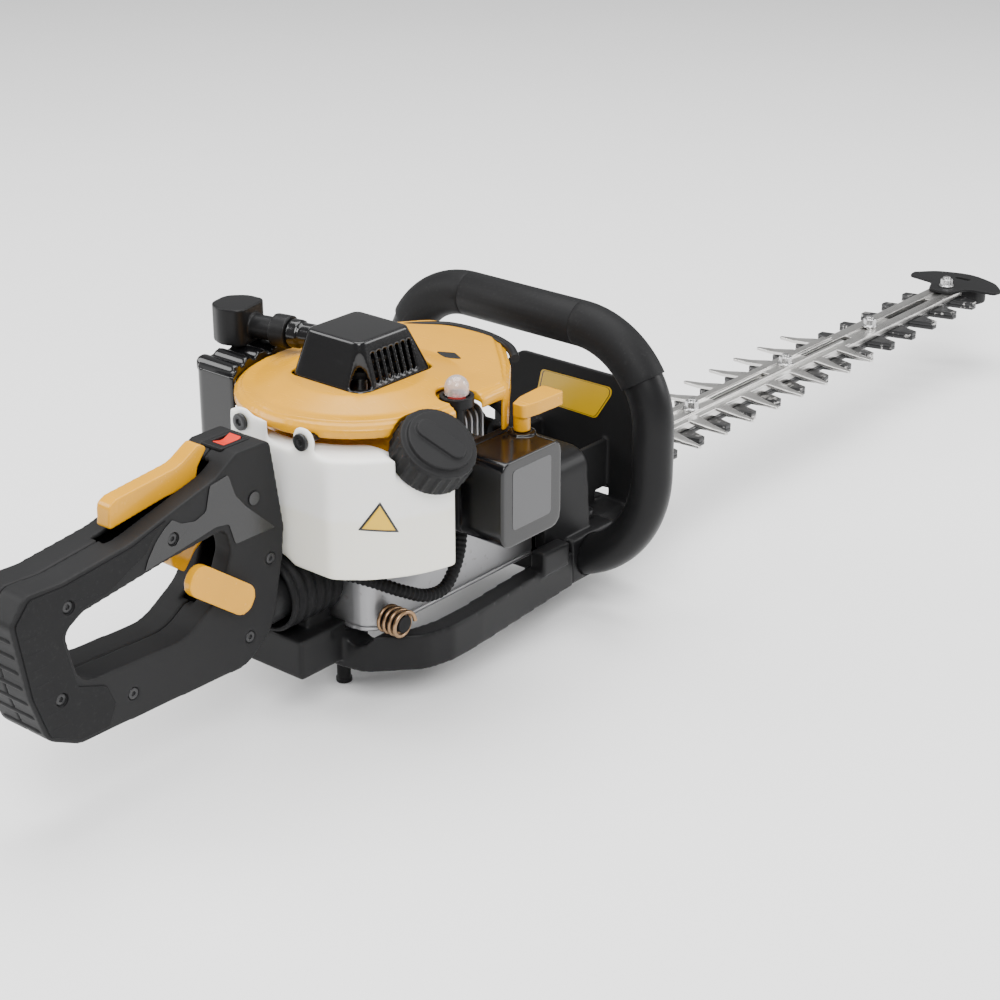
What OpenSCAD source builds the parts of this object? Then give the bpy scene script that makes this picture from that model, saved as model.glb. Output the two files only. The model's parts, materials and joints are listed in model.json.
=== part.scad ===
// Petrol hedge trimmer with a double-sided reciprocating cutter.
// Frame: +X towards the blade tip, +Y to the left, +Z up.
// The origin is the centre of the stand's foot, on the ground.

/* [Layout] */
// Height of the guide bar's tine plane above the ground
blade_z = 72; // [66:1:84]
// Distance from the stand forward to the vertical crank axis
crank_x = 22; // [18:1:26]
// Distance from the stand forward to the plane of the front loop handle
loop_x = 187; // [180:1:200]
// Height of the cylinder's horizontal axis
cylinder_z = 144; // [142:1:148]

/* [Cutter] */
// Distance between neighbouring teeth
tooth_pitch = 35; // [30:1:42]
// Distance from the stand forward to the last tooth at the tip
last_tooth_x = 782; // [680:1:900]
// Half the width over the cutting teeth
tooth_reach = 30.8; // [26:0.2:36]
// Half the width over the guard tines
tine_reach = 45.5; // [40:0.5:55]
// Thickness of each cutting blade
blade_t = 3; // [2:0.1:3.4]
// Thickness of the guide bar
bar_t = 4.5; // [3:0.1:6]
// Half the width of the guide bar
bar_half = 13; // [12:0.5:16]
// Stroke of each blade
blade_stroke = 17.5; // [12:0.5:20]
// Diameter of the blade bolts
bolt_d = 6; // [5:0.5:6]

/* [Front handle] */
// Diameter of the loop tube
loop_d = 28; // [24:1:32]
// Half the width of the loop, to the tube's centre line
loop_half = 111; // [104:1:120]
// Height of the loop's top, to the tube's centre line
loop_top = 211; // [200:1:220]
// Thickness of the soft grip on the loop
grip_t = 1.6; // [1:0.2:3]

/* [Rear handle] */
// Width of the rear handle
handle_w = 40; // [36:1:46]
// Height of the axis that the rear handle turns about
swivel_z = 88; // [86:1:90]
// Diameter of the swivel tube
swivel_d = 36; // [32:1:38]
// Wall of the handle shells
handle_wall = 3; // [2:0.5:4]

/* [Engine] */
// Bore of the cylinder
bore_d = 32; // [30:1:34]
// Stroke of the piston
engine_stroke = 28; // [24:1:30]
// Radius of the fan housing
fan_case_r = 62; // [60:1:64]
// Radius of the fuel tank's outer wall about the crank axis
tank_r = 96; // [92:1:100]
// Wall of the fuel tank
tank_wall = 2.5; // [2:0.5:4]
// Height of the starter cover's flat top
starter_top = 241.5; // [240:0.5:246]

/* [Gears] */
// Module of the gears
gear_module = 1.25; // [1.2:0.05:1.3]
// Teeth on the pinion
pinion_teeth = 13; // [12:1:14]
// Teeth on the drive gear
drive_teeth = 61; // [58:1:62]

/* [Fits] */
// Gap between parts that move past each other
move_gap = 0.4; // [0.3:0.05:0.6]
// Radial gap of a running fit
run_gap = 0.05; // [0.03:0.01:0.09]

/* [Hidden] */

$fn = 48;

yellow = [0.93, 0.66, 0.02];
black = [0.07, 0.07, 0.07];
steel = [0.75, 0.75, 0.73];
alloy = [0.55, 0.55, 0.54];
tank_white = [0.88, 0.87, 0.84];
red = [0.85, 0.2, 0.18];

// Stack of the cutter, from the guide bar down.
bar_z = blade_z - 2.5;
upper_z = bar_z - move_gap - blade_t;
lower_z = upper_z - move_gap - blade_t;
under_z = lower_z - move_gap;
washer_t = 1.6;
guard_plate_t = 3;
bar_screw_x = [loop_x - 7, loop_x + 3];
eccentric_throw = blade_stroke / 2;
strip_half = bar_half - 2;
tip_bolt_x = last_tooth_x + 3;
bolt_step = 3.75 * tooth_pitch;
bolt_count = 5;
last_tine_x = last_tooth_x - 5.6 * tooth_pitch;
first_tooth_x = loop_x + 60;

// Drive train: the pinion under the engine turns the drive gear in front of it.
gear_gap = 0.25;
pinion_r = gear_module * pinion_teeth / 2;
drive_r = gear_module * drive_teeth / 2;
gear_x = crank_x + pinion_r + drive_r + gear_gap;
gear_z = blade_z + 13;
gear_t = 8;
eccentric_r = 13;
yoke_r = eccentric_r + eccentric_throw * sqrt(2) + 0.8;
yoke_rim = 5;
gear_shaft_r = 6;
gearcase_half = drive_r + 6;
gearcase_top = blade_z + 34;
gearcase_bottom = blade_z - 18;
gearcase_rear = crank_x - 40;
gearcase_front = loop_x - 42;
gearcase_wall = 4;
drum_z = gearcase_top + 2;
drum_h = 16;
drum_r = 27;
clutch_case_r = drum_r + 4;
gearcase_outline = gearcase_plan(0, 16, 5);
gearcase_cavity = gearcase_plan(gearcase_wall, 12, 3);

// Engine.
bore_r = bore_d / 2;
throw_r = engine_stroke / 2;
rod_length = 52;
pin_x = crank_x + throw_r + rod_length;
crown_x = pin_x + 12;
piston_gap = 0.05;
deck_x = crown_x + 1.5;
case_r = 29;
case_bottom = cylinder_z - 16;
case_top = cylinder_z + 16;
shaft_r = 5;
fan_z = cylinder_z + 30;
fan_r = 54;
fan_h = 20;
housing_bottom = fan_z - 5;
housing_top = fan_z + 26;
pulley_z = starter_top - 24;
pulley_r = 19;
rope_r = 2;
rope_z = pulley_z + 4;
rope_turn = 12;
boss_end = 62;
carb_x = crank_x + 39;
airbox_face_y = -110;
airbox_w = 58;
airbox_h = 58;
airbox_top = cylinder_z + airbox_h / 2;
choke_at = [carb_x + 21, -84, airbox_top + 2];
primer_at = [crank_x + 17, -67, 200.5];
coil_face = crank_x + 74;
cover_rear = crank_x - 50;

// Cowl and starter cover.
cowl_r = 79;
cowl_rim_z = 197;
cowl_skirt_z = 207;
cowl_front_x = loop_x - 44;
cowl_t = 2.5;
starter_base_z = 210;

// Tank.
tank_depth = 30;
tank_from = 157;
tank_to = 261;
tank_z = 110;
tank_side_top = 172;
tank_back_top = 203;
tank_rear_x = -60;
tank_screw_y = [22, -30];
cap_at = [-4, -84, 186];
cap_tilt = 38;
cap_turn = -99;
cap_r = 25;

// Frame.
top_bend = 62;
grip_seam = 32;
loop_foot_y = 31;
loop_foot_z = 38;
low_bend = loop_half - loop_foot_y;
loop_bend_z = loop_foot_z + low_bend;
frame_bottom = 27;
frame_h = 25;
arm_half = 70;
arm_t = 14;
frame_rear_x = -24;
bracket_rear = loop_x - 20;
bracket_front = loop_x + 27;
bracket_half = 60;
bracket_top = 60;
box_half = 54;
box_front = loop_x + 8;
box_room = box_half - 10;
bracket_screw_at = [loop_x + 19, 41];
bracket_screw_r = 2.55;
box_top = 118;
guard_x = loop_x + 55;
guard_half = 74;
guard_top = 154;
guard_t = 4;

// Tine comb, from the guard to past its last tine.
comb_front = last_tine_x + 14;
comb_rear = guard_x + 8;
comb_z = bar_z + bar_t;
comb_t = 2;
tine_count = 1 + floor((last_tine_x - 7 - comb_rear) / tooth_pitch);

// Rear handle.
handle_half = handle_w / 2;
handle_front = -68;
collar_x = -46;
collar_l = 22;
tube_start = -92;
bellows_r = 25;
tube_r = swivel_d / 2;
trigger_pin = [-106, 158];
lever_pin = [-122, 182];
pin_r = 2;
paddle_pin = [-106, 107];
slot_half = 6;
handle_outline = rounded([[-276, 152], [-268, 104], [-258, 74], [-236, 63], [-104, 60], [-80, 78],
    [-70, 124], [handle_front, 142], [-77, 201], [-104, 201], [-122, 190], [-188, 172], [-238, 166],
    [-264, 167]], [6, 30, 14, 12, 20, 30, 20, 10, 5, 5, 14, 60, 20, 8]);
handle_window = rounded([[-240, 135], [-232, 100], [-152, 97], [-122, 116], [-112, 140], [-116, 156],
    [-162, 152], [-226, 143]], [8, 14, 34, 30, 14, 6, 40, 8]);
screw_spots = [[-157, 164], [-236, 150], [-246, 96], [-194, 78], [-80, 124], [-100, 78], [-92, 168]];

// Rounds the corners of an outline, each with its own radius, by short arcs.
function unit(v) = v / norm(v);
function corner(p, c, n, r, steps) =
    let (a = unit(p - c), b = unit(n - c), half = acos(max(-1, min(1, a * b))) / 2)
    let (reach = r / tan(half), hub = c + unit(a + b) * r / sin(half))
    let (u = c + a * reach - hub, v = c + b * reach - hub, sweep = 180 - 2 * half)
    r == 0 ? [c] : [for (i = [0 : steps]) hub + (sin(sweep * (1 - i / steps)) * u
        + sin(sweep * i / steps) * v) / sin(sweep)];
function rounded(pts, radii, steps = 5) = [for (i = [0 : len(pts) - 1])
    each corner(pts[(i + len(pts) - 1) % len(pts)], pts[i], pts[(i + 1) % len(pts)], radii[i], steps)];

// Plan of the gearcase, drawn in by a wall, with its rear and its front corner radius.
function gearcase_plan(wall, rear_r, front_r) = rounded([[gearcase_rear + wall, -gearcase_half + wall],
    [gearcase_front - wall, -gearcase_half + wall], [gearcase_front - wall, gearcase_half - wall],
    [gearcase_rear + wall, gearcase_half - wall]], [rear_r, front_r, front_r, rear_r]);

// A straight rod from one point to another.
module rod(a, b, r) {
    d = b - a;
    translate(a) rotate([0, acos(d.z / norm(d)), atan2(d.y, d.x)]) cylinder(h = norm(d), r = r);
}

// A block given by its lowest and highest corners.
module block(low, high) {
    translate(low) cube(high - low);
}

// An outline in the X-Z plane, made into a plate from one Y to another.
module plate_xz(pts, y0, y1) {
    translate([0, y1, 0]) rotate([90, 0, 0]) linear_extrude(y1 - y0) polygon(pts);
}

// An outline in the Y-Z plane, made into a plate from one X to another.
module plate_yz(pts, x0, x1) {
    translate([x0, 0, 0]) rotate([90, 0, 90]) linear_extrude(x1 - x0) polygon(pts);
}

// A tube swept along a list of points, as one closed surface.
module swept_tube(path, r, sides = 8) {
    last = len(path) - 1;
    rings = [for (i = [0 : last])
        let (t = unit(path[min(i + 1, last)] - path[max(i - 1, 0)]))
        let (side = unit(cross(t, abs(t.z) > 0.9 ? [1, 0, 0] : [0, 0, 1])), up = cross(side, t))
        for (k = [0 : sides - 1]) path[i] + r * (cos(360 * k / sides) * side + sin(360 * k / sides) * up)];
    walls = [for (i = [0 : last - 1], k = [0 : sides - 1])
        let (a = i * sides, b = (k + 1) % sides) [a + k, a + b, a + sides + b, a + sides + k]];
    ends = [[for (k = [sides - 1 : -1 : 0]) k], [for (k = [0 : sides - 1]) last * sides + k]];
    polyhedron(points = rings, faces = concat(walls, ends));
}

// Points along a coil about the Y axis.
function coil(r, length, turns, per_turn = 14) = [for (i = [0 : turns * per_turn])
    [r * cos(360 * i / per_turn), length * i / (turns * per_turn), r * sin(360 * i / per_turn)]];

// Points of a smooth curve through chosen points.
function blend_point(a, b, c, d, t) = 0.5 * (2 * b + (c - a) * t + (2 * a - 5 * b + 4 * c - d) * t * t
    + (3 * b - a - 3 * c + d) * t * t * t);
function smooth(pts, n) = let (m = len(pts) - 1) [for (i = [0 : m - 1], k = [0 : n - 1])
    blend_point(pts[max(i - 1, 0)], pts[i], pts[i + 1], pts[min(i + 2, m)], k / n), pts[m]];

// Pan-head screw with its shank along +Z below the head.
module pan_screw(head_r, shank_r, shank) {
    difference() {
        union() {
            cylinder(h = 2.4, r = head_r);
            translate([0, 0, -shank]) cylinder(h = shank + 0.1, r = shank_r);
        }
        translate([0, 0, 1.2]) cylinder(h = 2, r = head_r * 0.45, $fn = 6);
    }
}

// ---------------------------------------------------------------- frame and front handle

function arm_outline(out, rear, front) = [[front, -out + 9], [60, -out], [30, -out - 1], [8, -out + 4],
    [rear + 3, -38], [rear, -20], [rear, 20], [rear + 3, 38], [8, out - 4], [30, out + 1], [60, out],
    [front, out - 9]];

module base_frame() color(black) {
    outer = arm_outline(arm_half, frame_rear_x, bracket_rear);
    inner = arm_outline(arm_half - arm_t, frame_rear_x + 18, bracket_rear + 5);
    difference() {
        union() {
            translate([0, 0, frame_bottom]) linear_extrude(frame_h)
                polygon(rounded(outer, [0, 30, 20, 20, 15, 8, 8, 15, 20, 20, 30, 0]));
            block([-62, -24, frame_bottom + 6], [frame_rear_x + 4, 24, frame_bottom + frame_h + 8]);
            translate([collar_x, 0, swivel_z]) rotate([0, 90, 0]) cylinder(h = collar_l, r = tube_r + 4);
            block([collar_x, -14, frame_bottom + 20], [collar_x + collar_l, 14, swivel_z - tube_r]);
            for (side = [-1, 1]) {
                block([bracket_rear - 40, side * 61 - 6, frame_bottom + frame_h - 3],
                    [bracket_rear - 12, side * 61 + 6, bracket_top + 6]);
            }
        }
        translate([0, 0, frame_bottom - 1]) linear_extrude(frame_h + 20)
            polygon(rounded(inner, [0, 20, 14, 14, 10, 6, 6, 10, 14, 14, 20, 0]));
        translate([collar_x - 1, 0, swivel_z]) rotate([0, 90, 0])
            cylinder(h = collar_l + 2, r = tube_r + run_gap);
        for (side = [-1, 1]) {
            translate([frame_rear_x - 10, side * 33, frame_bottom + frame_h + 3]) rotate([0, 90, 0])
                cylinder(h = 60, r = 10);
        }
    }
    block([frame_rear_x + 12, -12, frame_bottom], [12, 12, frame_bottom + 12]);
}

module stand_foot() color(black) {
    cylinder(h = frame_bottom, r = 4.6);
    cylinder(h = 3, r = 5.4);
}

module front_bracket() color(black) {
    nose = rounded([[-box_half, bracket_top - 2], [box_half, bracket_top - 2], [box_half - 4, box_top],
        [-box_half + 4, box_top]], [0, 0, 14, 14]);
    base = rounded([[-bracket_half, frame_bottom - 1], [bracket_half, frame_bottom - 1],
        [bracket_half, bracket_top], [-bracket_half, bracket_top]], [3, 3, 3, 3]);
    difference() {
        union() {
            plate_yz(base, bracket_rear, bracket_front);
            plate_yz(nose, gearcase_front, box_front);
            block([gearcase_front + 8, -40, frame_bottom + 8], [bracket_rear + 1, 40, bracket_top]);
        }
        block([gearcase_front - 1, -box_room, 50], [loop_x - 10, box_room, box_top - 5]);
        block([loop_x - 11, -box_room, bar_z + bar_t + 12], [box_front - 6, box_room, box_top - 5]);
        block([loop_x - 20, -17, under_z - 6], [bracket_front + 1, 17, bar_z + bar_t]);
        for (side = [-1, 1]) {
            mirror([0, side > 0 ? 0 : 1, 0]) loop_low_bend(78, loop_d / 2 + run_gap);
            translate([bracket_screw_at.x, side * bracket_screw_at.y, frame_bottom + 5])
                cylinder(h = 60, r = bracket_screw_r + 0.02);
        }
        for (x = bar_screw_x) {
            translate([x, 0, bar_z]) cylinder(h = bar_t + 10.4, r = 2.52);
        }
    }
}

// Upper bend of the loop's left half.
module loop_top_bend(r) {
    translate([loop_x, loop_half - top_bend, loop_top - top_bend]) rotate([90, 0, 90])
        rotate_extrude(angle = 90) translate([top_bend, 0]) circle(r = r);
}

// Lower bend of the loop's left half, down from the straight side.
module loop_low_bend(sweep, r) {
    translate([loop_x, loop_half - low_bend, loop_bend_z]) rotate([90, 0, 90]) mirror([0, 1, 0])
        rotate_extrude(angle = sweep) translate([low_bend, 0]) circle(r = r);
}

module half_loop(r) {
    rod([loop_x, 0, loop_top], [loop_x, loop_half - top_bend, loop_top], r);
    loop_top_bend(r);
    rod([loop_x, loop_half, loop_bend_z], [loop_x, loop_half, loop_top - top_bend], r);
    loop_low_bend(76, r);
}

module loop_handle() color(black) {
    half_loop(loop_d / 2);
    mirror([0, 1, 0]) half_loop(loop_d / 2);
}

module grip_ring() {
    difference() {
        circle(r = loop_d / 2 + grip_t);
        circle(r = loop_d / 2 + run_gap);
    }
}

module loop_grip() color(black) {
    straight = loop_half - top_bend;
    translate([loop_x, 0, loop_top]) rotate([90, 0, 0])
        linear_extrude(2 * straight, center = true) grip_ring();
    for (side = [0, 1]) {
        mirror([0, side, 0]) translate([loop_x, straight, loop_top - top_bend]) rotate([90, 0, 90])
            rotate([0, 0, grip_seam]) rotate_extrude(angle = 90 - grip_seam)
                translate([top_bend, 0]) grip_ring();
    }
}

module hand_guard() color(black) {
    top_half = guard_half - 26;
    blade_room = tooth_reach + 2;
    shield = rounded([[-guard_half, bracket_top - 22], [guard_half, bracket_top - 22],
        [guard_half, guard_top - 40], [top_half + 12, guard_top - 7], [top_half, guard_top],
        [-top_half, guard_top], [-top_half - 12, guard_top - 7], [-guard_half, guard_top - 40]],
        [6, 6, 16, 8, 6, 6, 8, 16]);
    difference() {
        union() {
            plate_yz(shield, guard_x, guard_x + guard_t);
            block([bracket_front + 0.2, -48, bracket_top - 18], [guard_x + 1, 48, bracket_top]);
            for (side = [-1, 1]) {
                block([box_front + 0.2, side * 30 - 2, bracket_top],
                    [guard_x + 1, side * 30 + 2, box_top - 12]);
            }
        }
        block([bracket_front - 1, -19, under_z - 3], [guard_x + guard_t + 1, 19, bar_z + bar_t + 9]);
        block([guard_x - 14, -blade_room, under_z - 1], [guard_x + guard_t + 1, blade_room, bar_z]);
    }
}

module bracket_screws() color(black) {
    for (side = [-1, 1]) {
        translate([bracket_screw_at.x, side * bracket_screw_at.y, bracket_top]) {
            difference() {
                cylinder(h = 6, r = 5);
                translate([0, 0, 3]) cylinder(h = 4, r = 2.5, $fn = 6);
            }
            translate([0, 0, -26]) cylinder(h = 26.1, r = bracket_screw_r);
        }
    }
}

module av_springs() color([0.5, 0.38, 0.25]) {
    length = 18;
    for (side = [-1, 1]) {
        translate([-8, side * (gearcase_half + 2 + length / 2) - length / 2, 65])
            swept_tube(coil(8.4, length, 4), 1.4, 6);
    }
}

module swivel_bellows() color(black) {
    start = handle_front + 1;
    length = collar_x + collar_l + 3 - start;
    ribs = 6;
    difference() {
        translate([start, 0, swivel_z]) rotate([0, 90, 0]) difference() {
            union() {
                cylinder(h = length, r = bellows_r - 1.6);
                for (i = [0 : ribs - 1]) {
                    translate([0, 0, 1 + i * length / ribs])
                        cylinder(h = 0.5 * length / ribs, r = bellows_r);
                }
            }
            translate([0, 0, -1]) cylinder(h = length + 2, r = tube_r + 4.1);
        }
        block([-62.2, -24.2, frame_bottom], [0, 24.2, frame_bottom + frame_h + 8.2]);
        block([collar_x - 0.1, -14.1, frame_bottom], [0, 14.1, swivel_z - tube_r]);
    }
}

// ---------------------------------------------------------------- gearcase and cutter drive

module gearcase() color(alloy) {
    difference() {
        union() {
            translate([0, 0, gearcase_bottom + 3]) linear_extrude(gearcase_top - gearcase_bottom - 3)
                polygon(gearcase_outline);
            translate([crank_x, 0, gearcase_top - 1]) cylinder(h = drum_h + 4, r = clutch_case_r + 3);
        }
        translate([0, 0, gearcase_bottom + 2])
            linear_extrude(gearcase_top - gearcase_bottom - 2 - gearcase_wall) polygon(gearcase_cavity);
        translate([crank_x, 0, gearcase_top + 1]) cylinder(h = drum_h + 10, r = clutch_case_r);
        translate([crank_x, 0, gearcase_top - 10]) cylinder(h = 20, r = 7);
        block([gearcase_front - 10, -bar_half - 1, under_z - 1],
            [gearcase_front + 1, bar_half + 1, bar_z + bar_t + 1]);
        translate([gear_x, 0, gearcase_top - 10]) cylinder(h = 20, r = gear_shaft_r + run_gap);
    }
}

module gearcase_lid() color(alloy) {
    difference() {
        union() {
            translate([0, 0, gearcase_bottom]) linear_extrude(3) polygon(gearcase_outline);
            translate([gear_x, 0, gearcase_bottom]) cylinder(h = 6, r = 10);
        }
        translate([gear_x, 0, gearcase_bottom + 1.5]) cylinder(h = 6, r = gear_shaft_r + run_gap);
    }
    translate([gear_x + 40, 0, gearcase_bottom - 7]) {
        cylinder(h = 3, r = 3.3);
        cylinder(h = 7.5, r = 2.4);
    }
}

// Outline of a gear with straight-sided teeth.
function gear_points(teeth, r, m) = [for (i = [0 : teeth - 1], k = [0 : 3])
    let (a = 360 * (i + [-0.27, -0.12, 0.12, 0.27][k]) / teeth)
    let (q = k == 1 || k == 2 ? r + 0.85 * m : r - 1.1 * m) q * [cos(a), sin(a)]];

module clutch_drum() color(steel) {
    translate([crank_x, 0, 0]) difference() {
        union() {
            translate([0, 0, gear_z]) linear_extrude(gear_t + 1)
                polygon(gear_points(pinion_teeth, pinion_r, gear_module));
            translate([0, 0, gear_z + gear_t]) cylinder(h = drum_z - gear_z - gear_t + 1, r = 5.5);
            translate([0, 0, drum_z]) cylinder(h = drum_h, r = drum_r);
        }
        translate([0, 0, drum_z + 3]) cylinder(h = drum_h, r = drum_r - 2.5);
    }
}

module drive_gear() color(steel) {
    turn = 180 + 180 / drive_teeth;
    translate([gear_x, 0, 0]) {
        difference() {
            translate([0, 0, gear_z]) linear_extrude(gear_t)
                rotate(turn) polygon(gear_points(drive_teeth, drive_r, gear_module));
            for (i = [0 : 5]) {
                rotate(60 * i) translate([drive_r * 0.6, 0, gear_z - 1]) cylinder(h = gear_t + 2, r = 6.5);
            }
        }
        translate([0, 0, gearcase_bottom + 2])
            cylinder(h = gearcase_top - gearcase_bottom - 3, r = gear_shaft_r);
        translate([0, 0, gear_z - 4]) cylinder(h = 4.1, r = 11);
        translate([0, eccentric_throw, upper_z]) cylinder(h = gear_z - upper_z - 3, r = eccentric_r);
        translate([0, -eccentric_throw, lower_z]) cylinder(h = blade_t, r = eccentric_r);
    }
}

module clutch_shoes() color(alloy) {
    inner_r = 9;
    shoe_r = drum_r - 4;
    for (side = [-1, 1]) {
        translate([crank_x, 0, drum_z + 4]) difference() {
            cylinder(h = 8, r = shoe_r);
            translate([0, 0, -1]) cylinder(h = 10, r = inner_r);
            block([-30, side > 0 ? -30 : -1.5, -1], [30, side > 0 ? 1.5 : 30, 10]);
        }
    }
    translate([crank_x, 0, drum_z + 4]) difference() {
        cylinder(h = 8, r = inner_r - 0.2);
        translate([0, 0, -1]) cylinder(h = 10, r = shaft_r);
    }
}

// Plan of one tooth at x, on the right (side -1) or the left (side 1).
module tooth(x, side) {
    root = side * (strip_half - 1);
    tip = side * tooth_reach;
    polygon([[x - 9, root], [x - 3.4, tip], [x + 3.4, tip], [x + 9, root]]);
}

// One cutting blade, lying at height z.
module cutting_blade(z) {
    strip_end = tip_bolt_x + 2;
    slot_reach = eccentric_throw + 0.5;
    slot_r = bolt_d / 2 + 1.4;
    difference() {
        union() {
            block([gear_x + yoke_r, -strip_half, z], [strip_end, strip_half, z + blade_t]);
            translate([gear_x, 0, z]) cylinder(h = blade_t, r = yoke_r + yoke_rim);
            translate([0, 0, z]) linear_extrude(blade_t) {
                for (x = [last_tooth_x : -tooth_pitch : first_tooth_x]) {
                    tooth(x, -1);
                }
                for (x = [last_tooth_x - tooth_pitch / 2 : -tooth_pitch : first_tooth_x]) {
                    tooth(x, 1);
                }
            }
        }
        translate([gear_x, 0, z - 1]) cylinder(h = blade_t + 2, r = yoke_r);
        for (i = [0 : bolt_count - 1]) {
            translate([tip_bolt_x - i * bolt_step, 0, z - 1]) {
                block([-slot_reach, -slot_r, 0], [slot_reach, slot_r, blade_t + 2]);
                for (end = [-1, 1]) {
                    translate([end * slot_reach, 0, 0]) cylinder(h = blade_t + 2, r = slot_r);
                }
            }
        }
    }
}

module upper_blade() color([0.16, 0.16, 0.16]) cutting_blade(upper_z);

module lower_blade() color([0.14, 0.14, 0.14]) cutting_blade(lower_z);

module bolt_holes(z, h) {
    for (i = [0 : bolt_count - 1]) {
        translate([tip_bolt_x - i * bolt_step, 0, z]) cylinder(h = h, r = bolt_d / 2 + 0.02);
    }
}

module guide_bar() color(steel) {
    bar_rear = loop_x - 16;
    bar_end = tip_bolt_x + 6;
    difference() {
        block([bar_rear, -bar_half, bar_z], [bar_end, bar_half, bar_z + bar_t]);
        block([guard_x + 20, -3.5, bar_z + bar_t - 1.5], [bar_end + 1, 3.5, bar_z + bar_t + 1]);
        for (i = [0 : bolt_count - 2]) {
            mid = tip_bolt_x - (i + 0.5) * bolt_step;
            block([mid - 34, -3.5, bar_z - 1], [mid + 34, 3.5, bar_z + bar_t + 1]);
        }
        bolt_holes(bar_z - 1, bar_t + 2);
        for (x = bar_screw_x) {
            translate([x, 0, bar_z - 1]) cylinder(h = 3.5, r = 4.6);
            translate([x, 0, bar_z - 1]) cylinder(h = bar_t + 2, r = 2.52);
        }
    }
}

// Plan of the long tines, each swept back a little towards its rounded tip.
module tine_plan() {
    for (i = [0 : tine_count - 1], side = [-1, 1]) {
        x = last_tine_x - i * tooth_pitch;
        root = side * (bar_half - 2);
        waist = side * (tine_reach - 12);
        tip = side * (tine_reach - 2.2);
        polygon([[x - 7, root], [x + 7, root], [x + 2.6, waist], [x + 0.6, tip], [x - 3.2, tip],
            [x - 4.2, waist]]);
        translate([x - 1.3, tip]) circle(r = 2);
    }
}

// Section of the tines: level on the bar, then down to the tips.
module tine_section() {
    for (side = [-1, 1]) {
        polygon([[side * (bar_half - 3), comb_z], [side * (bar_half + 1), comb_z],
            [side * 30, blade_z - 0.6], [side * (tine_reach + 1), blade_z - 1],
            [side * (tine_reach + 1), blade_z + 1], [side * 31, blade_z + 1.8],
            [side * (bar_half + 2), comb_z + comb_t], [side * (bar_half - 3), comb_z + comb_t]]);
    }
}

module tine_comb() color(steel) {
    length = comb_front - comb_rear;
    difference() {
        union() {
            block([comb_rear, -bar_half - 0.5, comb_z], [comb_front, bar_half + 0.5, comb_z + comb_t]);
            for (side = [-1, 1]) {
                block([comb_rear, side * 6 - 1.5, comb_z + 1],
                    [comb_front, side * 6 + 1.5, comb_z + comb_t + 1.6]);
            }
            intersection() {
                translate([0, 0, blade_z - 4]) linear_extrude(14) tine_plan();
                translate([comb_rear - 9, 0, 0]) rotate([90, 0, 90])
                    linear_extrude(length + 9) tine_section();
            }
        }
        for (i = [1 : bolt_count - 2]) {
            mid = tip_bolt_x - (i + 0.5) * bolt_step;
            block([mid - 38, -3.5, comb_z - 1], [mid + 38, 3.5, comb_z + comb_t + 5]);
        }
        bolt_holes(comb_z - 1, 12);
        for (i = [1 : bolt_count - 1]) {
            translate([tip_bolt_x - i * bolt_step, 0, comb_z + comb_t]) cylinder(h = 12, r = 6.8);
        }
    }
}

// Countersunk screws that hold the bar's rear end up against the bracket.
module bar_screws() {
    for (x = bar_screw_x) {
        translate([x, 0, bar_z + 0.3]) {
            cylinder(h = 2.2, r = 4.5);
            cylinder(h = bar_t + 10, r = 2.5);
        }
    }
}

module blade_bolts() color(steel) {
    bar_screws();
    for (i = [0 : bolt_count - 1]) {
        x = tip_bolt_x - i * bolt_step;
        seat = x < comb_front ? comb_z + comb_t : comb_z;
        top = i == 0 ? seat + guard_plate_t : seat;
        translate([x, 0, 0]) {
            translate([0, 0, under_z - washer_t]) cylinder(h = washer_t, r = 7);
            translate([0, 0, under_z - washer_t - 3]) cylinder(h = 3.1, r = 5, $fn = 6);
            translate([0, 0, under_z - 0.1]) cylinder(h = bar_z - under_z + 0.1, r = bolt_d / 2 + 1);
            translate([0, 0, bar_z - 0.1]) cylinder(h = top + 9 - bar_z, r = bolt_d / 2);
            translate([0, 0, top]) cylinder(h = washer_t, r = 6.5);
            translate([0, 0, top + washer_t - 0.1]) cylinder(h = 5.5, r = 5.4, $fn = 6);
        }
    }
}

module tip_guard() color(black) {
    x = tip_bolt_x;
    wings = rounded([[x - 14, -10], [x + 6, -18], [x + 10, -43], [x + 20, -45], [x + 36, -30],
        [x + 48, 0], [x + 36, 30], [x + 20, 45], [x + 10, 43], [x + 6, 18], [x - 14, 10]],
        [5, 8, 4, 4, 24, 40, 24, 4, 4, 8, 5]);
    difference() {
        union() {
            translate([0, 0, comb_z]) linear_extrude(guard_plate_t) polygon(wings);
            translate([0, 0, under_z - 3]) linear_extrude(comb_z - under_z + 3.5)
                polygon(rounded([[x + 16, -22], [x + 36, -28], [x + 44, 0], [x + 36, 28], [x + 16, 22]],
                    [3, 14, 20, 14, 3]));
        }
        bolt_holes(comb_z - 1, 12);
        block([x - 10, -bar_half - 0.1, under_z - 10], [x + 6.1, bar_half + 0.1, comb_z]);
        for (side = [-1, 1]) {
            translate([x + 30, side * 4.5, under_z - 10]) cylinder(h = 40, r = 3);
        }
        block([x + 27, -4.5, under_z - 10], [x + 33, 4.5, comb_z + 20]);
    }
}

// ---------------------------------------------------------------- engine

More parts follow.
